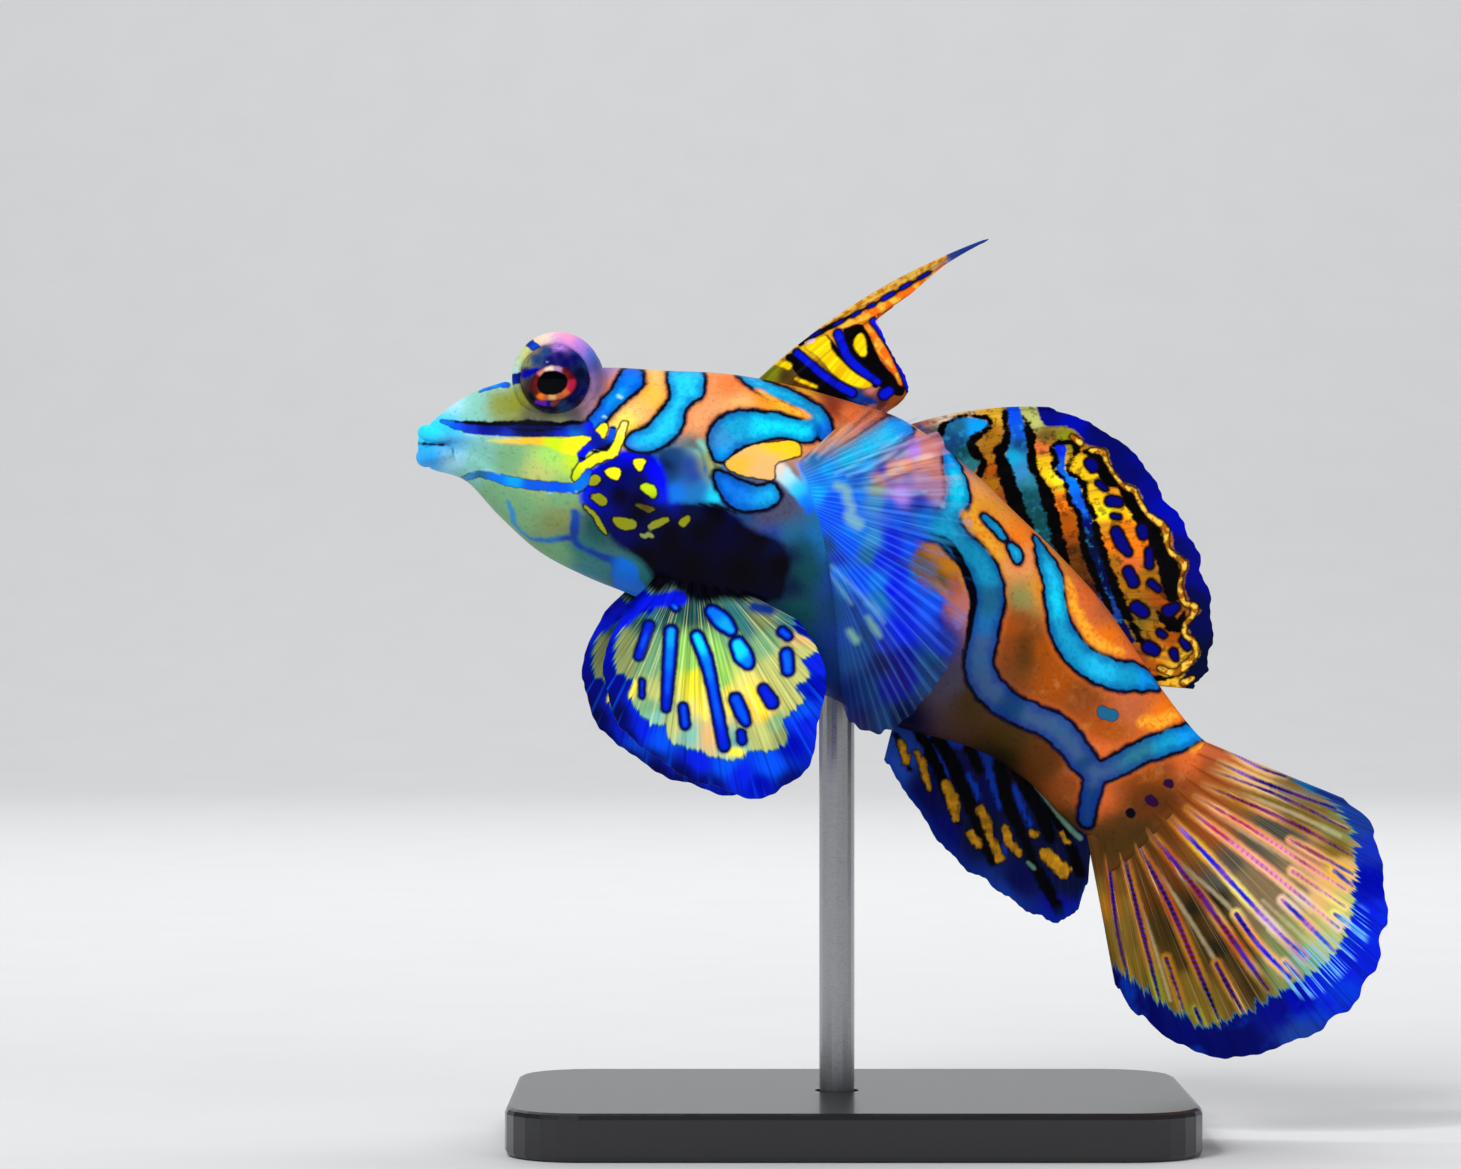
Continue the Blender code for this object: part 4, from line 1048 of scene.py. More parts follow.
# The paints of each fin: its membrane's first, then those of its rays, bands, marks and rim
finWash = {}
finWash["firstDorsal"] = {
    "wash": {
        "maroon": ((880, 400),), "walnut": ((868, 398), (800, 386)), "petrol": ((858, 395),),
        "dusk": ((950, 256), (962, 250), (985, 241)), "sienna": ((900, 396), (895, 404)),
        "clay": ((900, 380),), "moss": ((765, 368), (772, 372)), "rose": ((872, 392),),
        "coral": ((885, 350), (890, 312)), "tangerine": ((880, 306),), "amber": ((862, 345), (850, 324)),
        "apricot": ((920, 280),), "gold": ((775, 355), (890, 285)), "sand": ((930, 265),),
        "yellowGold": ((800, 338), (850, 306)), "cream": ((940, 262),), "umber": ((785, 376),),
        "bark": ((830, 392),),
    },
}
finWash["secondDorsal"] = {
    "wash": {
        "maroon": ((1093, 590),), "umber": ((1078, 585),), "walnut": ((1075, 548), (1085, 568)),
        "sienna": ((1004, 494), (1142, 655)), "olive": ((1045, 436), (1145, 615), (1140, 627)),
        "rust": ((996, 470), (1066, 520), (1074, 536), (1155, 668), (1160, 600), (1170, 638)),
        "bronze": ((990, 430), (992, 452), (994, 485), (1112, 560), (1150, 575), (1120, 585), (1128, 600),
            (1150, 630), (1080, 445)),
        "moss": ((1066, 440),), "coral": ((1041, 450), (1130, 562)),
        "tangerine": ((1060, 503), (1110, 545), (1137, 548), (1128, 524)),
        "amber": ((1048, 490), (1106, 527), (1160, 655), (1112, 490)), "straw": ((1028, 414), (1036, 420)),
        "gold": ((990, 416), (1170, 672), (1186, 660)),
        "yellowGold": ((1042, 462), (1080, 465), (1092, 477), (1100, 497), (1132, 516)),
        "lemon": ((1056, 479), (1104, 513)), "clay": ((905, 424),), "petrol": ((920, 430),),
        "deepTeal": ((935, 434),), "rose": ((925, 419),), "cream": ((942, 416), (955, 406)),
        "sand": ((962, 411), (930, 414)),
    },
    "bandWash": {
        "midnight": ((1092, 542),), "deepNavy": ((1104, 582), (1122, 628)), "navy": ((1087, 524),),
        "petrol": ((955, 440), (1019, 445)), "deepTeal": ((965, 452), (1029, 494), (1042, 518), (1050, 550)),
        "dusk": ((1112, 610),), "cobalt": ((1059, 451),), "harbour": ((958, 428),), "azure": ((1012, 414),),
        "gentian": ((1018, 432), (1060, 464), (1084, 509)), "teal": ((970, 462),), "lagoon": ((1030, 482),),
        "cornflower": ((1070, 481),), "heather": ((1024, 470),), "sea": ((1014, 457),), "sky": ((975, 427),),
    },
    "rimWash": {
        "midnight": ((1200, 670),), "deepNavy": ((1190, 600),),
        "navy": ((1100, 428), (1120, 450), (1130, 475), (1175, 545)),
        "royalNavy": ((1050, 412), (1150, 490), (1204, 575), (1140, 455)),
        "royal": ((1075, 418), (1170, 505), (1185, 525)),
    },
}
finWash["anal"] = {
    "wash": {
        "midnight": ((1070, 880), (1035, 850), (980, 830)), "deepNavy": ((930, 790), (1020, 880), (990, 790)),
        "bark": ((1020, 760),), "dusk": ((890, 765), (1000, 900)), "navy": ((940, 840),),
        "royalNavy": ((1060, 915),),
    },
}
finWash["tail"] = {
    "wash": {
        "bark": ((1200, 900), (1215, 900), (1175, 925), (1220, 948), (1195, 905)),
        "umber": ((1108, 862), (1150, 875), (1160, 930), (1185, 960), (1225, 930), (1180, 900), (1250, 985),
            (1165, 905), (1195, 925), (1235, 955), (1205, 960), (1150, 925), (1140, 880)),
        "walnut": ((1166, 824), (1130, 885), (1170, 860), (1180, 880), (1145, 905), (1160, 880)),
        "stone": ((1215, 880), (1230, 855), (1270, 830), (1290, 835)),
        "sienna": ((1182, 806), (1196, 790), (1210, 830)),
        "olive": ((1114, 885), (1190, 845), (1235, 790), (1118, 930), (1140, 960), (1330, 850), (1310, 810),
            (1200, 1005), (1270, 800), (1128, 905), (1190, 980)),
        "rust": ((1208, 776),), "mud": ((1250, 880), (1265, 905), (1300, 885), (1252, 900)),
        "bronze": ((1240, 770), (1112, 905)), "clay": ((1218, 760),),
        "sage": ((1285, 935), (1335, 825), (1280, 972)), "fern": ((1305, 960),),
        "straw": ((1325, 935), (1345, 905)), "sand": ((1320, 895), (1340, 870)),
    },
    "edgeWash": {
        "sienna": ((1110, 890), (1200, 895)),
        "olive": ((1340, 815), (1300, 812), (1340, 845), (1265, 985), (1210, 1000), (1120, 940)),
        "rust": ((1170, 862), (1240, 945), (1170, 905)), "mud": ((1300, 790), (1190, 872)),
        "bronze": ((1230, 800), (1190, 950), (1130, 890), (1145, 940), (1228, 985), (1175, 985)),
        "moss": ((1158, 990), (1300, 988), (1200, 1020)), "mauve": ((1305, 955),),
        "amber": ((1250, 940), (1180, 825)), "apricot": ((1220, 815), (1260, 835), (1215, 830)),
        "salmon": ((1310, 865), (1260, 868)), "straw": ((1325, 945),), "gold": ((1200, 850), (1335, 870)),
        "sand": ((1250, 775), (1345, 890), (1275, 965), (1305, 922), (1300, 880)),
        "cream": ((1300, 900), (1340, 930), (1270, 922)), "butter": ((1335, 905), (1240, 892)),
    },
    "coreWash": {
        "ink": ((1212, 1000),), "deepNavy": ((1155, 985),),
        "plum": ((1145, 860), (1165, 900), (1130, 890), (1225, 980), (1222, 765)),
        "navy": ((1270, 788), (1330, 805), (1165, 812), (1110, 890), (1200, 1018)),
        "royalNavy": ((1245, 925),),
        "maroon": ((1340, 850), (1262, 985), (1120, 950), (1172, 975), (1185, 812), (1206, 790), (1215, 778),
            (1152, 836)),
        "wine": ((1245, 800), (1300, 828), (1190, 885), (1225, 930), (1190, 950), (1172, 822)),
        "denim": ((1295, 912), (1300, 950)), "dusk": ((1340, 875), (1340, 918)),
        "cobalt": ((1210, 858), (1240, 893), (1270, 960)), "ultramarine": ((1185, 832),),
        "sienna": ((1310, 850),), "gentian": ((1320, 940),), "crimson": ((1240, 822), (1215, 830)),
        "rose": ((1310, 883),), "lilac": ((1240, 760), (1270, 922)),
        "pink": ((1280, 850), (1330, 880), (1240, 852), (1280, 885), (1320, 915)), "royal": ((1192, 842),),
    },
    "rimWash": {
        "navy": ((1120, 1000), (1240, 1040), (1260, 1055)), "royalNavy": ((1280, 1010),),
        "royal": ((1300, 1000), (1370, 880)), "denim": ((1375, 850),),
        "dusk": ((1360, 820), (1300, 1035), (1330, 790)), "cobalt": ((1320, 985), (1375, 920)),
        "fjord": ((1300, 780),),
    },
}
finWash["pelvic"] = {
    "wash": {
        "deepTeal": ((700, 612), (665, 617), (690, 615), (640, 618)),
        "teal": ((745, 628), (790, 622), (655, 622), (735, 615)),
        "sage": ((625, 645), (625, 665), (760, 618), (785, 735)),
        "fern": ((660, 640), (765, 645), (775, 722), (648, 665), (650, 708), (730, 640)),
        "mint": ((690, 735), (655, 718), (735, 742)),
        "straw": ((776, 665), (655, 692), (785, 690), (760, 735), (803, 650), (672, 725)),
        "lime": ((688, 645), (716, 650), (721, 680), (690, 665)), "sand": ((709, 735), (803, 640)),
        "yellowGold": ((757, 700), (764, 712)), "butter": ((730, 700), (704, 702), (742, 690)),
        "lemon": ((699, 690), (695, 676)),
    },
    "rimWash": {
        "deepNavy": ((640, 765), (615, 735), (600, 690), (650, 762), (682, 776), (618, 715), (628, 740)),
        "navy": ((700, 788), (600, 650), (790, 785), (712, 788)), "royalNavy": ((800, 620), (615, 680)),
        "royal": ((645, 605), (612, 655), (815, 690), (760, 785), (790, 745)),
        "cobalt": ((622, 630), (640, 705), (645, 730), (700, 760), (740, 775), (820, 662), (806, 722)),
        "azure": ((660, 738), (726, 765), (803, 712), (770, 765)),
    },
    "markWash": {
        "cobalt": ((647, 628), (640, 655), (666, 706), (724, 746), (741, 738), (764, 690), (773, 704)),
        "azure": ((644, 640), (669, 682), (713, 692), (684, 716), (744, 716), (788, 634)),
        "cornflower": ((670, 658), (716, 614), (706, 668), (748, 662)),
        "sky": ((671, 636), (726, 626), (674, 606)), "aqua": ((698, 642), (741, 652)),
    },
}
finWash["pectoral"] = {
    "wash": {
        "midnight": ((860, 720), (900, 715)), "deepNavy": ((880, 664),),
        "royalNavy": ((902, 660), (905, 680), (888, 690)), "maroon": ((845, 403),),
        "petrol": ((864, 640), (850, 668), (868, 692), (845, 700), (930, 662), (928, 690), (882, 718),
            (830, 545), (826, 565), (832, 600)),
        "deepTeal": ((825, 612),),
        "denim": ((882, 470), (920, 503), (838, 560), (828, 592), (946, 620), (942, 642), (884, 640)),
        "dusk": ((850, 604), (838, 640)),
        "cobalt": ((892, 536), (892, 552), (906, 602), (902, 630), (880, 560), (900, 575)),
        "ultramarine": ((892, 590),), "harbour": ((868, 556), (936, 580)),
        "azure": ((850, 546), (860, 585), (920, 588), (932, 605), (832, 500), (842, 516), (852, 500),
            (826, 520), (840, 540), (860, 575), (915, 545)),
        "gentian": ((860, 480), (890, 506), (900, 520)),
        "fjord": ((880, 598), (840, 590), (920, 570), (816, 460)),
        "violetGrey": ((900, 452), (892, 482), (907, 478)),
        "kingfisher": ((845, 480), (905, 428), (860, 496), (925, 516), (860, 532), (877, 582), (822, 480)),
        "cornflower": ((836, 572), (850, 530)), "clay": ((870, 410),),
        "heather": ((864, 484), (876, 502), (872, 539)), "sage": ((876, 489),),
        "rose": ((926, 446), (880, 478), (935, 472)), "coral": ((850, 415),),
        "lilac": ((915, 450), (900, 494)), "mauve": ((925, 480), (935, 490)), "sea": ((942, 526),),
        "sky": ((868, 466), (828, 470), (818, 492)),
        "apricot": ((815, 445), (840, 430), (905, 467), (892, 472)),
        "cyan": ((850, 460), (870, 450), (892, 438)), "salmon": ((925, 460),),
    },
}
# Strokes and areas of each fin's marks
finMarks = {}
finMarks["firstDorsal"] = {
    "black": (
        ((790, 358, 9), (808, 372, 20), (828, 388, 20), (850, 398, 14), (870, 402, 6)),
        ((826, 338, 6), (848, 366, 9), (876, 386, 5)),
        ((846, 326), (860, 324), (868, 332), (882, 362), (904, 386), (900, 396), (884, 390), (868, 376),
         (855, 362), (843, 334)),
        ((800, 344, 5), (824, 330, 6), (848, 318, 5), (880, 301, 4), (905, 287, 4), (934, 270, 2)),
    ),
    "yellow": (
        ((805, 347), (822, 336), (829, 340), (833, 352), (853, 372), (864, 378), (872, 385), (860, 388),
         (838, 378), (817, 356)),
        ((861, 338, 7), (860, 345, 12), (863, 353, 7)), ((776, 362, 6), (788, 366, 7)),
        ((796, 379, 3), (816, 387, 3)),
    ),
    "orange": (
        ((866, 325, 5), (876, 338, 7), (882, 350, 10), (897, 373, 6), (901, 383, 4)),
        ((838, 328, 4), (874, 311, 10), (905, 293, 7), (930, 277, 6), (944, 264, 4)),
    ),
    "blue": (
        ((797, 353, 8), (828, 379, 8), (852, 393, 9)), ((838, 334, 9), (850, 360, 9), (878, 382, 7)),
        ((873, 321, 6), (893, 351, 6), (911, 390, 8)), ((812, 336, 3), (820, 332, 3)),
        ((834, 325, 3), (843, 320, 3)), ((852, 316, 3), (859, 312, 3)), ((868, 307, 3), (875, 304, 3)),
        ((883, 299, 4), (893, 293, 4)), ((901, 288, 3), (910, 283, 3)), ((919, 278, 3), (929, 272, 3)),
        ((884, 394, 11), (889, 391, 10)),
    ),
    "dusk": (((852, 395, 9), (864, 400, 10), (874, 402, 6)),),
    "rim": (((748, 374, 5), (790, 343, 9), (830, 318, 8), (855, 305, 8), (905, 279, 8), (944, 257, 5)),),
    "pale": (
        ((878, 322, 3), (881, 328, 3)), ((888, 340, 3), (891, 345, 3)), ((898, 356, 4), (904, 364, 4)),
        ((806, 343, 3), (814, 340, 3)),
    ),
}
finMarks["secondDorsal"] = {
    "band": (
        ((945, 422), (962, 417), (985, 420), (988, 427), (968, 443), (981, 460), (970, 474), (958, 466),
         (948, 454), (938, 446)),
        ((1012, 408, 14), (1019, 440, 20), (1016, 458, 23), (1024, 475, 24), (1038, 520, 26), (1046, 545, 20),
         (1054, 566, 8)),
        ((1059, 449, 14), (1060, 464, 9), (1062, 474, 10), (1072, 482, 12), (1076, 497, 14), (1083, 510, 14),
         (1088, 530, 16), (1095, 552, 18), (1110, 602, 18), (1118, 622, 13), (1130, 640, 8)),
    ),
    "black": (
        ((944, 424, 4), (962, 416, 3), (985, 418, 5), (989, 426, 6), (971, 443, 9), (976, 453, 11),
         (983, 461, 8), (981, 470, 9), (977, 478, 6)),
        ((944, 424, 6), (939, 436, 7), (939, 450, 5)),
        ((1004, 408, 6), (1006, 438, 8), (1002, 448, 12), (1000, 458, 13), (1010, 488, 17), (1016, 503, 15),
         (1032, 530, 5)),
        ((1022, 416, 4), (1028, 428, 8), (1031, 442, 9), (1032, 466, 9), (1039, 478, 9), (1051, 510, 14),
         (1060, 546, 12), (1068, 564, 8)),
        ((1050, 448, 6), (1055, 458, 6), (1054, 470, 5), (1064, 480, 4), (1070, 504, 5)),
        ((1050, 447, 5), (1062, 443, 5), (1077, 447, 7), (1067, 470, 4), (1078, 478, 5)),
        ((1070, 504, 5), (1078, 514, 6), (1084, 548, 7), (1090, 562, 9), (1096, 580, 9), (1112, 612, 6)),
        ((1078, 478, 5), (1084, 487, 7), (1085, 499, 6), (1092, 511, 7), (1096, 528, 7), (1107, 564, 9),
         (1121, 602, 10), (1142, 643, 6)),
        ((1086, 453, 8), (1097, 457, 13), (1107, 479, 13), (1118, 482, 9)),
        ((1122, 489, 8), (1130, 499, 17), (1150, 528, 18), (1159, 548, 14)),
        ((1159, 548, 14), (1167, 564, 20), (1171, 580, 22), (1172, 597, 13)),
        ((1158, 612, 5), (1168, 621, 14), (1178, 626, 13), (1183, 614, 5)),
        ((1148, 676, 5), (1166, 679, 5), (1182, 671, 5)),
    ),
    "navy": (
        ((1090, 463, 12), (1093, 467, 12)), ((1098, 483, 7), (1105, 489, 6)),
        ((1110, 501, 11), (1118, 502, 11)), ((1113, 516, 6), (1119, 517, 6)),
        ((1116, 532, 12), (1121, 543, 13), (1128, 552, 9)), ((1142, 529, 12), (1143, 534, 12)),
        ((1149, 551, 9), (1149, 565, 9)), ((1128, 571, 11), (1133, 582, 12)),
        ((1151, 583, 9), (1158, 589, 7)), ((1136, 607, 13), (1143, 612, 12)),
        ((1168, 611, 13), (1175, 607, 10)), ((1159, 632, 7), (1163, 635, 7)),
        ((1148, 647, 13), (1154, 650, 12)), ((1183, 640, 9), (1187, 647, 8)),
        ((1173, 652, 9), (1175, 658, 7)),
    ),
    "gold": (
        ((1072, 437, 4), (1080, 443, 5)),
        ((1090, 451, 3), (1103, 453, 5), (1107, 464, 2), (1122, 485, 3), (1134, 491, 5)),
        ((1134, 491, 3), (1147, 514, 3), (1164, 527, 6), (1166, 542, 3)),
        ((1166, 542, 2), (1172, 554, 3), (1184, 563, 5), (1181, 576, 2), (1180, 592, 4), (1184, 603, 3)),
        ((1184, 603, 3), (1194, 607, 6), (1192, 616, 4), (1185, 624, 3), (1184, 634, 4), (1192, 640, 4)),
        ((1192, 640, 4), (1196, 651, 5), (1188, 662, 6), (1174, 673, 6), (1160, 668, 4)),
        ((1184, 683, 6), (1192, 678, 3)),
    ),
    "rim": (
        ((1038, 396), (1075, 392), (1122, 410), (1165, 452), (1205, 500), (1232, 555), (1236, 622),
         (1230, 700), (1196, 700), (1182, 680), (1192, 664), (1200, 652), (1190, 634), (1189, 622),
         (1200, 610), (1188, 599), (1184, 582), (1188, 562), (1174, 550), (1170, 530), (1147, 510),
         (1138, 490), (1122, 482), (1112, 468), (1106, 450), (1088, 446), (1078, 434), (1066, 427),
         (1044, 425)),
    ),
}
finMarks["anal"] = {
    "blue": (
        ((925, 730, 9), (945, 740, 10), (965, 745, 9), (985, 752, 12), (990, 765, 12), (999, 805, 6)),
        ((940, 757, 7), (945, 775, 7)), ((968, 776, 8), (976, 796, 9)), ((1014, 788, 8), (1030, 824, 6)),
        ((1005, 845, 4), (1003, 855, 4)),
    ),
    "black": (
        ((896, 735, 5), (910, 770, 5)), ((914, 725, 9), (928, 748, 11), (940, 775, 10), (958, 822, 6)),
        ((936, 738, 12), (952, 762, 14), (964, 790, 13), (974, 815, 12), (992, 862, 7)),
        ((968, 748, 10), (980, 770, 8)),
        ((1000, 762, 14), (1004, 785, 14), (1010, 808, 12), (1020, 830, 10), (1032, 856, 9)),
        ((1018, 768, 16), (1030, 792, 15), (1042, 815, 14), (1050, 838, 11)),
        ((1030, 858, 8), (1042, 878, 12), (1060, 912, 8)), ((1046, 806, 8), (1062, 828, 10), (1080, 872, 10)),
    ),
    "ochre": (
        ((901, 742, 6), (906, 762, 7)), ((917, 752, 4), (923, 768, 7), (929, 788, 4)),
        ((946, 784, 7), (952, 800, 11), (956, 819, 6)), ((970, 834, 8), (978, 843, 8)),
        ((980, 809, 8), (987, 824, 10), (991, 838, 7), (999, 857, 9)),
        ((1005, 828, 7), (1010, 842, 9), (1018, 852, 8)), ((1032, 833, 8), (1036, 834, 7)),
        ((1045, 854, 12), (1064, 871, 12)), ((1061, 833, 4), (1067, 842, 6)),
    ),
    "streak": (((1036, 786, 4), (1066, 824, 5), (1080, 838, 5)), ((1028, 862, 3), (1034, 868, 4))),
}
finMarks["tail"] = {
    "ray": (
        ((1226, 748, 2), (1256, 766, 3), (1285, 776, 3)), ((1218, 762, 2), (1262, 782, 4), (1335, 808, 3)),
        ((1205, 768, 2), (1280, 796, 3), (1345, 828, 2)), ((1202, 784, 2), (1290, 822, 4), (1352, 856, 2)),
        ((1194, 796, 2), (1240, 822, 3), (1290, 854, 3), (1345, 890, 2)),
        ((1186, 808, 3), (1265, 868, 4), (1338, 928, 2)),
        ((1160, 808, 4), (1205, 854, 5), (1272, 926, 4), (1304, 956, 3)),
        ((1148, 831, 4), (1195, 888, 5), (1245, 958, 5), (1268, 990, 3)),
        ((1138, 846, 4), (1168, 902, 5), (1200, 975, 5), (1218, 1018, 3)),
        ((1122, 848, 3), (1142, 930, 5), (1160, 1000, 3)), ((1108, 856, 3), (1117, 932, 4), (1128, 978, 3)),
        ((1236, 914, 5), (1256, 942, 5), (1290, 978, 4)), ((1282, 900, 4), (1305, 922, 5), (1335, 952, 3)),
        ((1292, 871, 4), (1345, 907, 2)), ((1290, 840, 3), (1320, 856, 4), (1352, 874, 3)),
        ((1334, 871, 5), (1352, 886, 3)), ((1334, 914, 4), (1354, 928, 3)),
        ((1216, 963, 4), (1228, 986, 5), (1243, 1012, 3)), ((1166, 958, 4), (1184, 1012, 3)),
        ((1195, 1008, 4), (1203, 1026, 3)), ((1284, 962, 3), (1302, 980, 3)),
    ),
    "thread": (
        ((1152, 838, 3), (1190, 872, 4), (1228, 906, 4), (1262, 946, 3)),
        ((1176, 806, 4), (1220, 836, 5), (1262, 868, 5), (1310, 912, 4)),
        ((1210, 812, 3), (1260, 842, 4), (1320, 880, 3)), ((1150, 860, 3), (1190, 920, 4), (1226, 978, 3)),
        ((1128, 870, 3), (1152, 940, 3), (1170, 1000, 3)), ((1230, 790, 4), (1290, 812, 4), (1340, 836, 3)),
        ((1268, 930, 4), (1300, 960, 4), (1322, 976, 3)), ((1262, 900, 3), (1300, 935, 4), (1330, 962, 3)),
    ),
    "rim": (
        ((1284, 762), (1330, 775), (1385, 790), (1412, 850), (1412, 930), (1378, 1015), (1300, 1070),
         (1220, 1100), (1140, 1080), (1094, 1015), (1094, 962), (1112, 966), (1134, 982), (1150, 996),
         (1170, 1008), (1196, 1024), (1218, 1024), (1266, 1002), (1290, 988), (1316, 972), (1338, 950),
         (1350, 926), (1354, 896), (1356, 866), (1354, 838), (1344, 816), (1326, 800), (1304, 788)),
    ),
    "gleam": (
        ((1282, 962), (1306, 946), (1330, 928), (1346, 905), (1366, 912), (1366, 940), (1345, 972),
         (1316, 996), (1292, 992)),
    ),
}
finMarks["pelvic"] = {
    "rim": (
        ((652, 610), (636, 617), (621, 630), (613, 654), (617, 673), (631, 681), (628, 700), (650, 724),
         (662, 727), (668, 740), (680, 748), (698, 751), (712, 758), (740, 762), (748, 754), (765, 752),
         (784, 747), (788, 735), (785, 720), (806, 701), (799, 686), (812, 676), (806, 660), (818, 652),
         (812, 638), (798, 632), (794, 618), (786, 600), (850, 590), (850, 770), (760, 820), (640, 810),
         (570, 720), (575, 620), (640, 590)),
    ),
    "yellow": (
        ((635, 684, 7), (630, 697, 8)), ((731, 752, 9), (740, 753, 9)), ((696, 678, 5), (705, 718, 5)),
        ((749, 688, 8), (757, 703, 9), (763, 713, 6)), ((728, 688, 4), (730, 712, 6)),
    ),
    "mark": (
        ((649, 626, 9), (639, 656, 8)), ((671, 632, 12), (668, 680, 10), (666, 708, 7)),
        ((697, 637, 12), (706, 660, 12), (713, 690, 10), (724, 746, 10)),
        ((712, 612, 12), (722, 621, 17), (731, 630, 11)), ((738, 645, 15), (743, 655, 18), (748, 663, 12)),
        ((683, 708, 8), (685, 725, 8)), ((736, 700, 12), (742, 714, 12), (746, 722, 8)),
        ((741, 734, 7), (742, 741, 7)), ((764, 690, 10), (772, 702, 12)), ((783, 632, 9), (788, 636, 8)),
        ((787, 655, 12), (788, 670, 11)), ((642, 682, 4), (642, 696, 4)), ((673, 605, 7), (676, 608, 6)),
    ),
    "blot": (((640, 606, 9), (652, 602, 13), (680, 598, 16)), ((636, 612, 8), (626, 622, 8))),
    "dusk": (((755, 607, 12), (770, 610, 12)),),
    # painted shade where the fin's root meets the belly
    "shade": (
        ((640, 560), (655, 594), (672, 588), (690, 600), (706, 604), (724, 600), (742, 602), (756, 600),
         (776, 600), (796, 588), (800, 556)),
    ),
}
finMarks["pectoral"] = {
    "dark": (
        ((806, 457, 2), (822, 436, 2), (846, 402, 2)), ((812, 458, 2), (834, 432, 2.5), (860, 400, 2)),
        ((822, 458, 2), (846, 434, 2.5), (876, 406, 2)), ((834, 456, 2), (856, 440, 2.5), (888, 418, 2)),
        ((850, 480, 2), (880, 466, 3), (914, 442, 2)),
        ((846, 486, 2), (876, 484, 2), (905, 474, 2.5), (928, 466, 2)),
        ((866, 620, 2), (884, 644, 3), (898, 668, 4), (910, 700, 3)),
        ((852, 606, 3), (866, 634, 3), (884, 668, 3)),
    ),
    "light": (
        ((806, 460, 2), (828, 438, 3)), ((818, 458, 2), (838, 440, 3), (852, 426, 2)),
        ((836, 474, 2), (866, 458, 3), (890, 444, 3), (904, 432, 2)),
        ((848, 476, 2), (872, 466, 3), (896, 452, 3)), ((872, 482, 2), (902, 467, 5)),
        ((896, 458, 2), (906, 452, 4)), ((916, 458, 3), (930, 456, 4)),
        ((866, 487, 2), (904, 494, 3), (926, 492, 2)), ((832, 566, 2), (868, 602, 3), (884, 622, 2)),
        ((830, 574, 2), (852, 604, 2)), ((866, 602, 3), (874, 608, 5), (882, 618, 2)),
    ),
    "glow": (
        ((838, 486, 8), (846, 490, 10), (848, 500, 10), (852, 508, 8), (850, 516, 12), (858, 524, 12)),
        ((868, 618, 4), (876, 630, 6), (880, 636, 3)), ((850, 632, 6), (856, 640, 7)),
    ),
}


# A fin's sheet with its fields: the right one is the left one's mirror image, shifted
def makeFin(name, kind, node, side=-1.0):
    mid, half, across, out = finSurface(kind)
    views = np.tile(seen(mid).reshape(-1, 2), (2, 1))
    points, faces = thicken(mid, half)
    if side > 0:
        points = points * (1.0, -1.0, 1.0) + fins[kind]["rightShift"]
        faces = faces[:, ::-1]
    fields = layerFields(finMarks[kind], views)
    fields["across"] = np.tile(across.ravel(), 2)
    fields["out"] = np.tile(out.ravel(), 2)
    blend = washBlend["fin"]
    washes = {key: washOver(views, table, blend) for key, table in finWash[kind].items()}
    if kind == "pectoral":
        spots = [spot for share in pectoralCover for spot in pectoralCover[share]]
        shares = [[share] for share in pectoralCover for _ in pectoralCover[share]]
        fields["cover"] = spreadOver(views, spots, np.array(shares), blend)[:, 0]
    if kind in ("tail", "pectoral"):
        washes["skin"] = washOver(views, skinWash, washBlend["skin"])
    makePiece(name, points, faces, finMaterials[kind], fins[kind]["slot"], (node,), fields, washes)


# How much of the flank the pectoral fin covers, and where
pectoralCover = {
    1.0: ((870, 718), (890, 722), (880, 738), (835, 700)),
    0.95: ((835, 490), (850, 520), (905, 585), (860, 560), (860, 600), (880, 640), (850, 650), (930, 625),
        (905, 680)),
    0.9: ((905, 455), (905, 485), (880, 485), (890, 530)), 0.85: ((925, 450), (930, 650), (840, 560)),
    0.8: ((812, 455), (895, 510), (905, 545), (935, 600), (822, 470), (836, 620)),
    0.7: ((870, 472), (890, 462), (835, 470)), 0.6: ((935, 470), (935, 495), (935, 680)),
    0.55: ((920, 510), (915, 530)), 0.5: ((830, 447), (850, 465), (905, 735)),
    0.3: ((925, 575), (950, 635), (900, 432)),
    0.4: ((850, 430), (870, 415), (850, 405), (875, 450), (925, 705)), 0.35: ((950, 665),),
    0.2: ((945, 520), (945, 590), (952, 612)),
    0.1: ((925, 555), (965, 640), (860, 405), (880, 408), (920, 425)),
    0.05: ((948, 465), (955, 500), (950, 570), (965, 690)),
    0.0: ((960, 600), (975, 560), (900, 408), (925, 415), (912, 402), (888, 398)),
}


# The start that all fins share: their colour with fine threads along the rays, and their marks' fields
def startFin(kind):
    fin = Finish(kind + "Fin", Coat_Weight=0.02, Coat_Roughness=0.15, Specular_IOR_Level=0.03)
    threads = fin.threads(fins[kind]["rays"] * 7.0, 1.1)
    wander = (fin.noise(2.6, 2.0) - 0.5) * 0.14
    field = {name: fin.field(name) + wander for name in finMarks[kind]}
    colour = fin.fade(fin.wash("wash"), (0.01, 0.01, 0.015), threads, 0.5, 0.3, 0.4)
    return fin, colour, field, threads


# The end that all fins share: their threads make them rougher and stand up
def endFin(fin, colour, threads, **links):
    relief = fin.bump(threads * 0.7 + fin.noise(5.0, 3.0, 0.6) * 0.3, 0.05, 0.6)
    return fin.wear(Base_Color=colour, Roughness=0.3 + threads * 0.2, Normal=relief, **links)


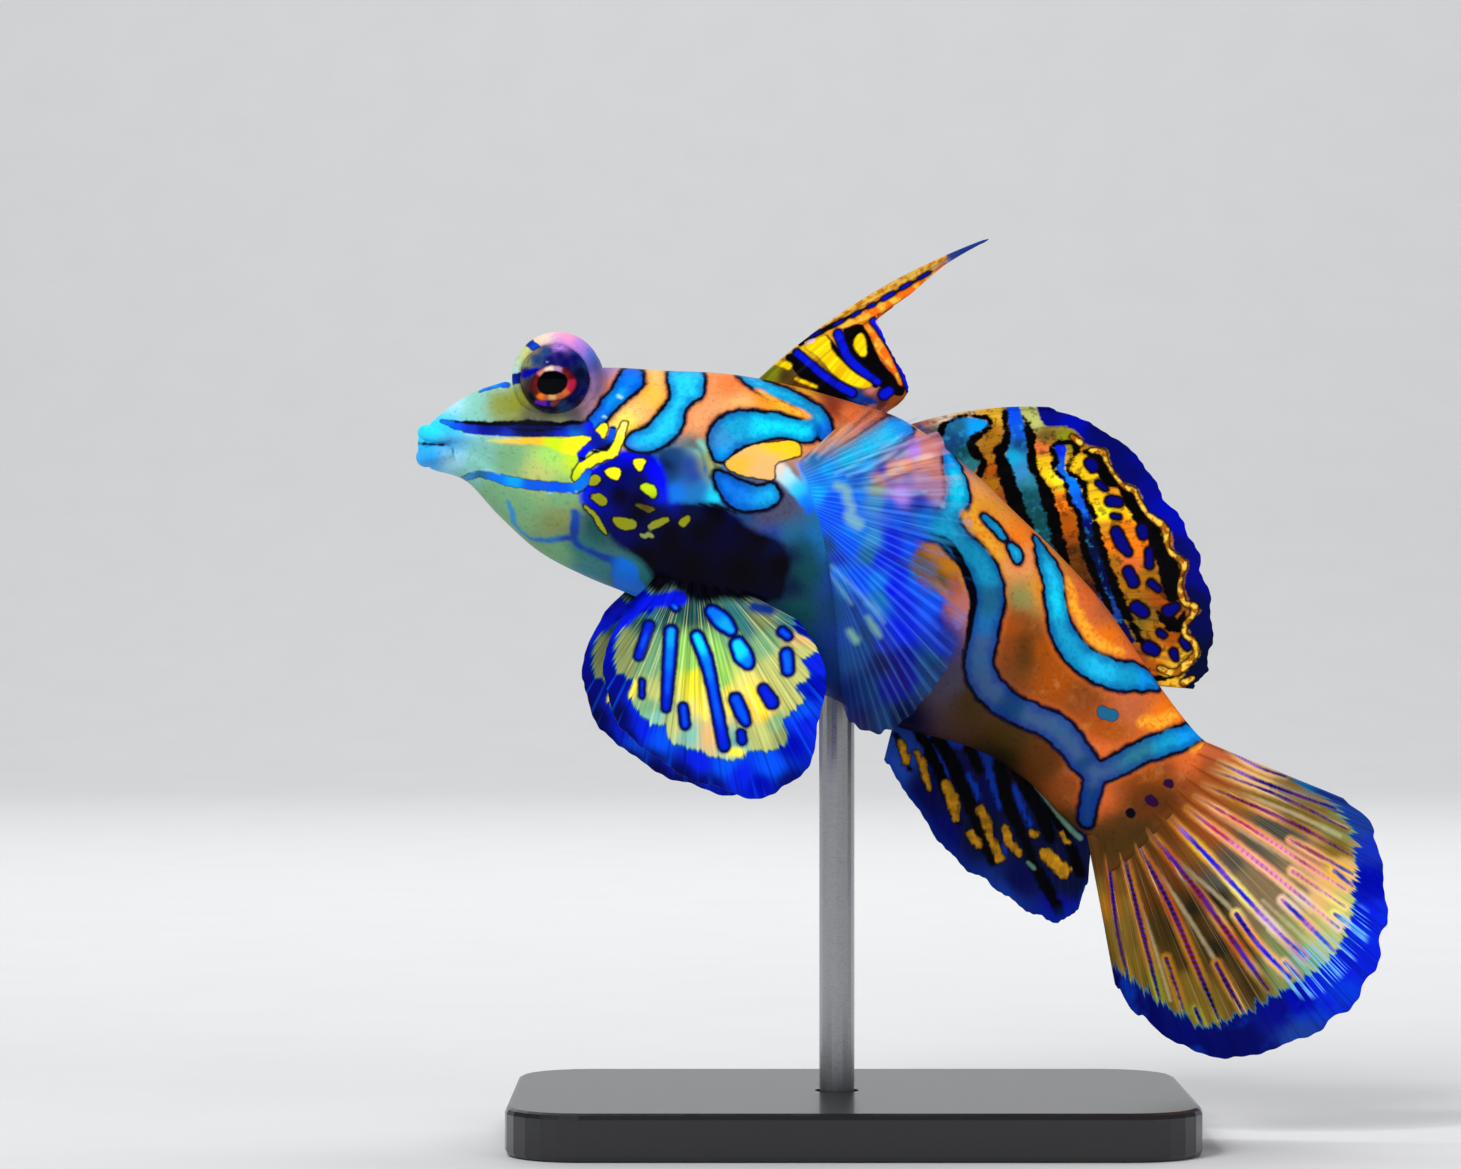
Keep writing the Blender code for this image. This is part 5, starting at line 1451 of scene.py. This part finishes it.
# Black patches, yellow and orange flames, blue streaks and a brass rim
def makeFirstDorsalMaterial():
    fin, colour, field, threads = startFin("firstDorsal")
    colour = fin.mark(colour, field["black"], tint(5, 3, 5), 0.07)
    flame = fin.fade(tint(245, 110, 15), tint(250, 190, 60), fin.noise(1.2, 2.0), 0.4, 0.6)
    brass = fin.fade(tint(215, 130, 25), tint(250, 200, 80), fin.noise(2.5, 2.0), 0.35, 0.6)
    lemon = fin.fade(tint(240, 190, 0), tint(255, 235, 20), threads, 0.35, 0.65)
    colour = fin.mark(colour, field["yellow"], lemon, 0.1, tint(90, 60, 0), 0.04)
    colour = fin.mark(colour, field["orange"], flame, 0.1, tint(90, 20, 0), 0.05)
    colour = fin.mark(colour, field["dusk"], tint(10, 50, 140), 0.2)
    colour = fin.mark(colour, field["rim"], brass, 0.1, tint(60, 25, 5), 0.04)
    royal = fin.fade(tint(6, 20, 215), tint(4, 8, 90), threads, 0.5, 0.3, 0.5)
    colour = fin.mark(colour, field["blue"] + 0.05, royal, 0.1, tint(4, 4, 30), 0.16, 0.1)
    colour = fin.mark(colour, field["pale"], tint(225, 190, 220), 0.08)
    return endFin(fin, colour, threads)


# Ragged dark bands with glints, navy blots edged in brown, gold lines and a blue rim
def makeSecondDorsalMaterial():
    fin, colour, field, threads = startFin("secondDorsal")
    glints = fin.fade(fin.wash("bandWash"), tint(40, 150, 190), fin.noise(2.2, 2.0), 0.5, 0.7, 0.5)
    glints = fin.fade(glints, fin.wash("bandWash"), threads, 0.55, 0.4, 0.8)
    ragged = (fin.noise(1.5, 3.0, 0.6) - 0.5) * 0.6 + (threads - 0.5) * 0.35
    burnt = fin.mix(0.75, colour, tint(40, 14, 2))
    colour = fin.fade(colour, burnt, fin.noise(1.9, 3.0, 0.6), 0.52, 0.64, 0.75)
    colour = fin.mark(colour, field["band"] + ragged * 0.5, glints, 0.09)
    colour = fin.mark(colour, field["black"] + ragged, tint(4, 3, 4), 0.1)
    colour = fin.mark(colour, field["navy"] + 0.1, tint(4, 6, 118), 0.12, tint(12, 3, 2), 0.22, 0.12)
    colour = fin.mark(colour, field["rim"] - (threads - 0.5) * 0.4, fin.wash("rimWash"), 0.1)
    gilt = fin.fade(tint(165, 95, 15), tint(255, 205, 70), fin.noise(2.0, 2.0), 0.42, 0.58)
    colour = fin.mark(colour, field["gold"] + ragged * 0.25, gilt, 0.1, tint(15, 5, 2), 0.16, 0.12)
    return endFin(fin, colour, threads)


# Ragged blue and black patches, ochre dashes, and more blue toward the margin
def makeAnalMaterial():
    fin, colour, field, threads = startFin("anal")
    ragged = (fin.noise(1.3, 3.0, 0.6) - 0.5) * 0.7 + (threads - 0.5) * 0.6
    colour = fin.mark(colour, field["blue"] + ragged, tint(8, 50, 160), 0.2)
    colour = fin.mark(colour, field["black"] + ragged * 0.7 - 0.05, tint(2, 2, 6), 0.14)
    ochre = fin.fade(tint(115, 80, 10), tint(200, 140, 25), fin.noise(1.6, 3.0, 0.6), 0.2, 0.85)
    colour = fin.mark(colour, field["ochre"] + ragged * 0.6, ochre, 0.12, tint(10, 8, 8), 0.12, 0.1)
    colour = fin.mark(colour, field["streak"], tint(80, 115, 100), 0.1)
    lighter = fin.fade(colour, tint(0, 35, 130), fin.field("out"), 0.86, 0.99, 0.5)
    return endFin(fin, lighter, threads)


# Fine threads, pale rays with beaded dark cores, the stalk's skin at the foot, a toothed rim with painted
# glints
def makeTailMaterial():
    fin, colour, field, threads = startFin("tail")
    fine = fin.threads(fins["tail"]["rays"] * 17.0, 1.5)
    colour = fin.fade(colour, tint(190, 160, 105), fine, 0.54, 0.7, 0.28)
    colour = fin.fade(colour, fin.mix(0.8, colour, (0.0, 0.0, 0.0)), fine, 0.46, 0.3, 0.5)
    pale = fin.mix(0.5, fin.wash("wash"), tint(215, 195, 150))
    colour = fin.mark(colour, field["thread"], pale, 0.14)
    out = fin.field("out")
    colour = fin.fade(colour, fin.wash("skin"), out, 0.4, 0.12)
    shown = fin.step(out, 0.06, 0.26)
    warm = fin.fade(fin.wash("edgeWash"), tint(255, 235, 180), fine, 0.5, 0.7, 0.5)
    colour = fin.mix(shown * fin.step(field["ray"], 0.42, 0.12) * 0.85, colour, fin.wash("edgeWash"))
    colour = fin.mix(shown * fin.step(field["ray"], 0.21, 0.08), colour, warm)
    beads = (out * (2 * math.pi * 46)).cosine()
    core = fin.fade(fin.wash("coreWash"), tint(60, 30, 190), beads, 0.0, 0.9, 0.4)
    colour = fin.mix(shown * fin.step(field["ray"], 0.09, -0.09), colour, core)
    teeth = field["rim"] + (threads - 0.5) * 2.2 + (fine - 0.5) * 0.9
    swell = fin.noise(0.35, 3.0, 0.6)
    rim = fin.fade(fin.wash("rimWash"), tint(0, 70, 215), swell, 0.5, 0.72, 0.45)
    rim = fin.fade(rim, tint(0, 5, 60), fine, 0.5, 0.35, 0.3)
    colour = fin.mark(colour, teeth, rim, 0.12, tint(40, 120, 150), 0.1, 0.12)
    # painted glints: pale streaks along the threads within the gleam area of the blue rim
    streak = fin.step(fine + threads * 0.4, 0.72, 0.8) * fin.step(field["gleam"], 0.3, -0.4)
    colour = fin.mix(streak * 0.8, colour, tint(110, 195, 250))
    return endFin(fin, colour, threads)


# Fine pale threads, blue marks edged in navy, a toothed blue rim and painted shade darkening the root
def makePelvicMaterial():
    fin, colour, field, threads = startFin("pelvic")
    fine = fin.threads(fins["pelvic"]["rays"] * 16.0, 1.2)
    colour = fin.mark(colour, field["yellow"], tint(255, 232, 60), 0.2)
    colour = fin.fade(colour, tint(232, 240, 165), fine, 0.52, 0.68, 0.4)
    colour = fin.fade(colour, fin.mix(0.7, colour, tint(10, 50, 45)), fine, 0.47, 0.32, 0.55)
    core = fin.fade(tint(0, 28, 170), fin.wash("markWash"), field["mark"], -0.02, -0.3)
    colour = fin.mark(colour, field["mark"], core, 0.1, tint(3, 4, 60), 0.2, 0.13)
    teeth = field["rim"] + (threads - 0.5) * 1.1 + (fine - 0.5) * 0.6
    rim = fin.fade(fin.wash("rimWash"), tint(0, 8, 105), fine, 0.5, 0.34, 0.5)
    rim = fin.fade(rim, tint(0, 90, 250), threads, 0.56, 0.7, 0.5)
    colour = fin.mark(colour, teeth, rim, 0.12, tint(15, 90, 130), 0.12, 0.12)
    colour = fin.mark(colour, field["blot"], tint(4, 18, 215), 0.22)
    colour = fin.mark(colour, field["dusk"], tint(10, 45, 120), 0.3)
    colour = fin.mark(colour, field["shade"] + (threads - 0.5) * 0.8, tint(3, 4, 12), 0.35)
    return endFin(fin, colour, threads)


# Light and dark strokes over rays drawn by a cosine; it is clear where little cover is laid
def makePectoralMaterial():
    fin, colour, field, threads = startFin("pectoral")
    count = 2 * fins["pectoral"]["rays"]
    phase = fin.field("across") * (2 * math.pi * count) + fin.threads(7.0, 0.4) * 16.0
    rays = phase.cosine()
    ridge = fin.step(rays + (threads - 0.5) * 3.0, 0.0, 1.4)
    colour = fin.mix(ridge * 0.22, colour, fin.mix(0.4, fin.wash("wash"), tint(130, 200, 240)))
    colour = fin.fade(colour, fin.mix(0.6, fin.wash("wash"), tint(4, 8, 60)), rays, 0.1, -1.0, 0.25)
    colour = fin.fade(colour, fin.wash("skin"), fin.field("across"), 0.62, 0.95)
    colour = fin.mark(colour, field["light"], fin.mix(0.3, colour, tint(150, 215, 235)), 0.26)
    colour = fin.mark(colour, field["dark"], fin.mix(0.6, colour, tint(20, 10, 50)), 0.18)
    colour = fin.mark(colour, field["glow"], fin.mix(0.6, colour, tint(135, 190, 160)), 0.3)
    line = fin.step(field["light"], 0.12, -0.1) * 0.25 + fin.step(field["dark"], 0.12, -0.1) * 0.35
    cover = fin.field("cover") * fin.step(fin.field("across"), 1.0, 0.82)
    alpha = fin.step(cover + (threads - 0.5) * 0.35 + ridge * 0.12 + line, 0.08, 0.92)
    return endFin(fin, colour, threads, Alpha=alpha)


finMaterials = {
    "firstDorsal": makeFirstDorsalMaterial(),
    "secondDorsal": makeSecondDorsalMaterial(),
    "anal": makeAnalMaterial(),
    "tail": makeTailMaterial(),
    "pelvic": makePelvicMaterial(),
    "pectoral": makePectoralMaterial(),
}
makeFin("dorsal_first", "firstDorsal", "dorsal_fin_first")
makeFin("dorsal_second", "secondDorsal", "dorsal_fin_second")
makeFin("anal_membrane", "anal", "anal_fin")
makeFin("tail_fan", "tail", "tail_fin")
for side, label in ((-1.0, "left"), (1.0, "right")):
    makeFin("pelvic_" + label, "pelvic", "pelvic_fin_" + label, side)
    makeFin("pectoral_" + label, "pectoral", "pectoral_fin_" + label, side)
print("fins made")


# Black lacquer with fine specks, and steel with fine lines round the rod
def makeStandMaterials():
    lacquer = Finish("baseLacquer", Roughness=0.3, Coat_Weight=0.3, Coat_Roughness=0.08)
    speck = lacquer.noise(4.0, 3.0, 0.6)
    colour = lacquer.mix(speck, tint(14, 14, 16), tint(30, 30, 33))
    lacquer.wear(Base_Color=colour, Normal=lacquer.bump(speck, 0.02, 0.3))
    steel = Finish("brushedSteel", Metallic=1.0)
    lines = steel.noise(3.0, 4.0, 0.7, steel.stretch(1.0, 1.0, 12.0))
    colour = steel.mix(lines, tint(150, 150, 152), tint(215, 216, 220))
    steel.wear(Base_Color=colour, Roughness=0.2 + lines * 0.2, Normal=steel.bump(lines, 0.01, 0.4))
    return lacquer.material, steel.material


baseLacquer, brushedSteel = makeStandMaterials()
standSharp = 35.0  # degrees, past which the stand's edges stay sharp
for node, material in (("stand_base", baseLacquer), ("stand_rod", brushedSteel)):
    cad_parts[node].data.materials.clear()
    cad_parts[node].data.materials.append(material)
    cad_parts[node].data.shade_smooth()
    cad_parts[node].data.set_sharp_from_angle(angle=math.radians(standSharp))
print("stand finished")

studio = {
    "floorFront": -1500.0,
    "wall": 900.0,
    "curve": 350.0,
    "height": 1200.0,
    "halfWidth": 1800.0,
    "grid": (24, 9),  # rows of the curve, and columns
    # place, aim, width, height, power in watts of each softbox, and whether glossy surfaces mirror it
    "lamps": (
        ((-330.0, -420.0, 420.0), (-5.0, 0.0, 40.0), 300.0, 240.0, 2.5, False),
        ((430.0, -360.0, 260.0), (0.0, 0.0, 36.0), 280.0, 280.0, 0.9, False),
        ((60.0, 320.0, 420.0), (0.0, 0.0, 42.0), 420.0, 260.0, 1.0, False),
        ((-20.0, -480.0, 60.0), (0.0, 0.0, 36.0), 200.0, 160.0, 0.35, False),
        ((0.0, 200.0, 700.0), (0.0, 900.0, 150.0), 900.0, 300.0, 5.5, False),
        ((-260.0, -330.0, 520.0), (-5.0, 0.0, 40.0), 90.0, 70.0, 1.0, True),
    ),
    "sky": (0.92, 0.95, 1.0),
    "skyStrength": 0.16,
}


# The floor runs back, turns up a quarter circle and rises as a wall
def makeStudio():
    rows, columns = studio["grid"]
    turn = np.linspace(0.0, np.pi / 2, rows)
    y = studio["wall"] - studio["curve"] + studio["curve"] * np.sin(turn)
    z = studio["curve"] * (1.0 - np.cos(turn))
    y = np.concatenate(([studio["floorFront"]], y, [studio["wall"]]))
    z = np.concatenate(([0.0], z, [studio["height"]]))
    x = np.linspace(-studio["halfWidth"], studio["halfWidth"], columns)
    sweep = np.stack(np.broadcast_arrays(x[None, :], y[:, None], z[:, None]), -1)
    mesh = bpy.data.meshes.new("sweep")
    mesh.from_pydata((sweep.reshape(-1, 3) * mm).tolist(), [], gridFaces(len(y), len(x)).tolist())
    mesh.shade_smooth()
    paper = Finish("paper", Roughness=0.9)
    fleck = paper.noise(0.08, 3.0)
    mesh.materials.append(paper.wear(Base_Color=paper.mix(fleck, (0.57, 0.58, 0.59), (0.61, 0.61, 0.61))))
    floor = bpy.data.objects.new("sweep", mesh)
    bpy.context.scene.collection.objects.link(floor)
    for k, (place, target, width, height, power, mirrored) in enumerate(studio["lamps"]):
        lamp = bpy.data.lights.new(f"softbox{k + 1}", "AREA")
        lamp.shape = "RECTANGLE"
        lamp.size, lamp.size_y = width * mm, height * mm
        lamp.energy = power
        holder = bpy.data.objects.new(lamp.name, lamp)
        holder.visible_glossy = mirrored
        holder.location = Vector(place) * mm
        holder.rotation_euler = (Vector(target) - Vector(place)).to_track_quat("-Z", "Y").to_euler()
        bpy.context.scene.collection.objects.link(holder)
    world = bpy.data.worlds.new("studioSky")
    world.use_nodes = True
    world.node_tree.nodes["Background"].inputs["Color"].default_value = (*studio["sky"], 1.0)
    world.node_tree.nodes["Background"].inputs["Strength"].default_value = studio["skyStrength"]
    bpy.context.scene.world = world


# It looks along +y from the photo's distance at the height of the photo's middle
def makeCamera():
    lens = bpy.data.cameras.new("photoCamera")
    lens.lens = photo["lens"]
    lens.sensor_width = photo["sensor"]
    lens.clip_start = photo["nearest"]
    camera = bpy.data.objects.new("photoCamera", lens)
    camera.location = Vector((cameraX, -photo["distance"], cameraZ)) * mm
    camera.rotation_euler = (math.radians(90.0), 0.0, 0.0)
    bpy.context.scene.collection.objects.link(camera)
    bpy.context.scene.camera = camera
    bpy.context.scene.view_settings.view_transform = "Standard"  # shows the skin's pure colours as they are


makeStudio()
makeCamera()
print("studio ready")
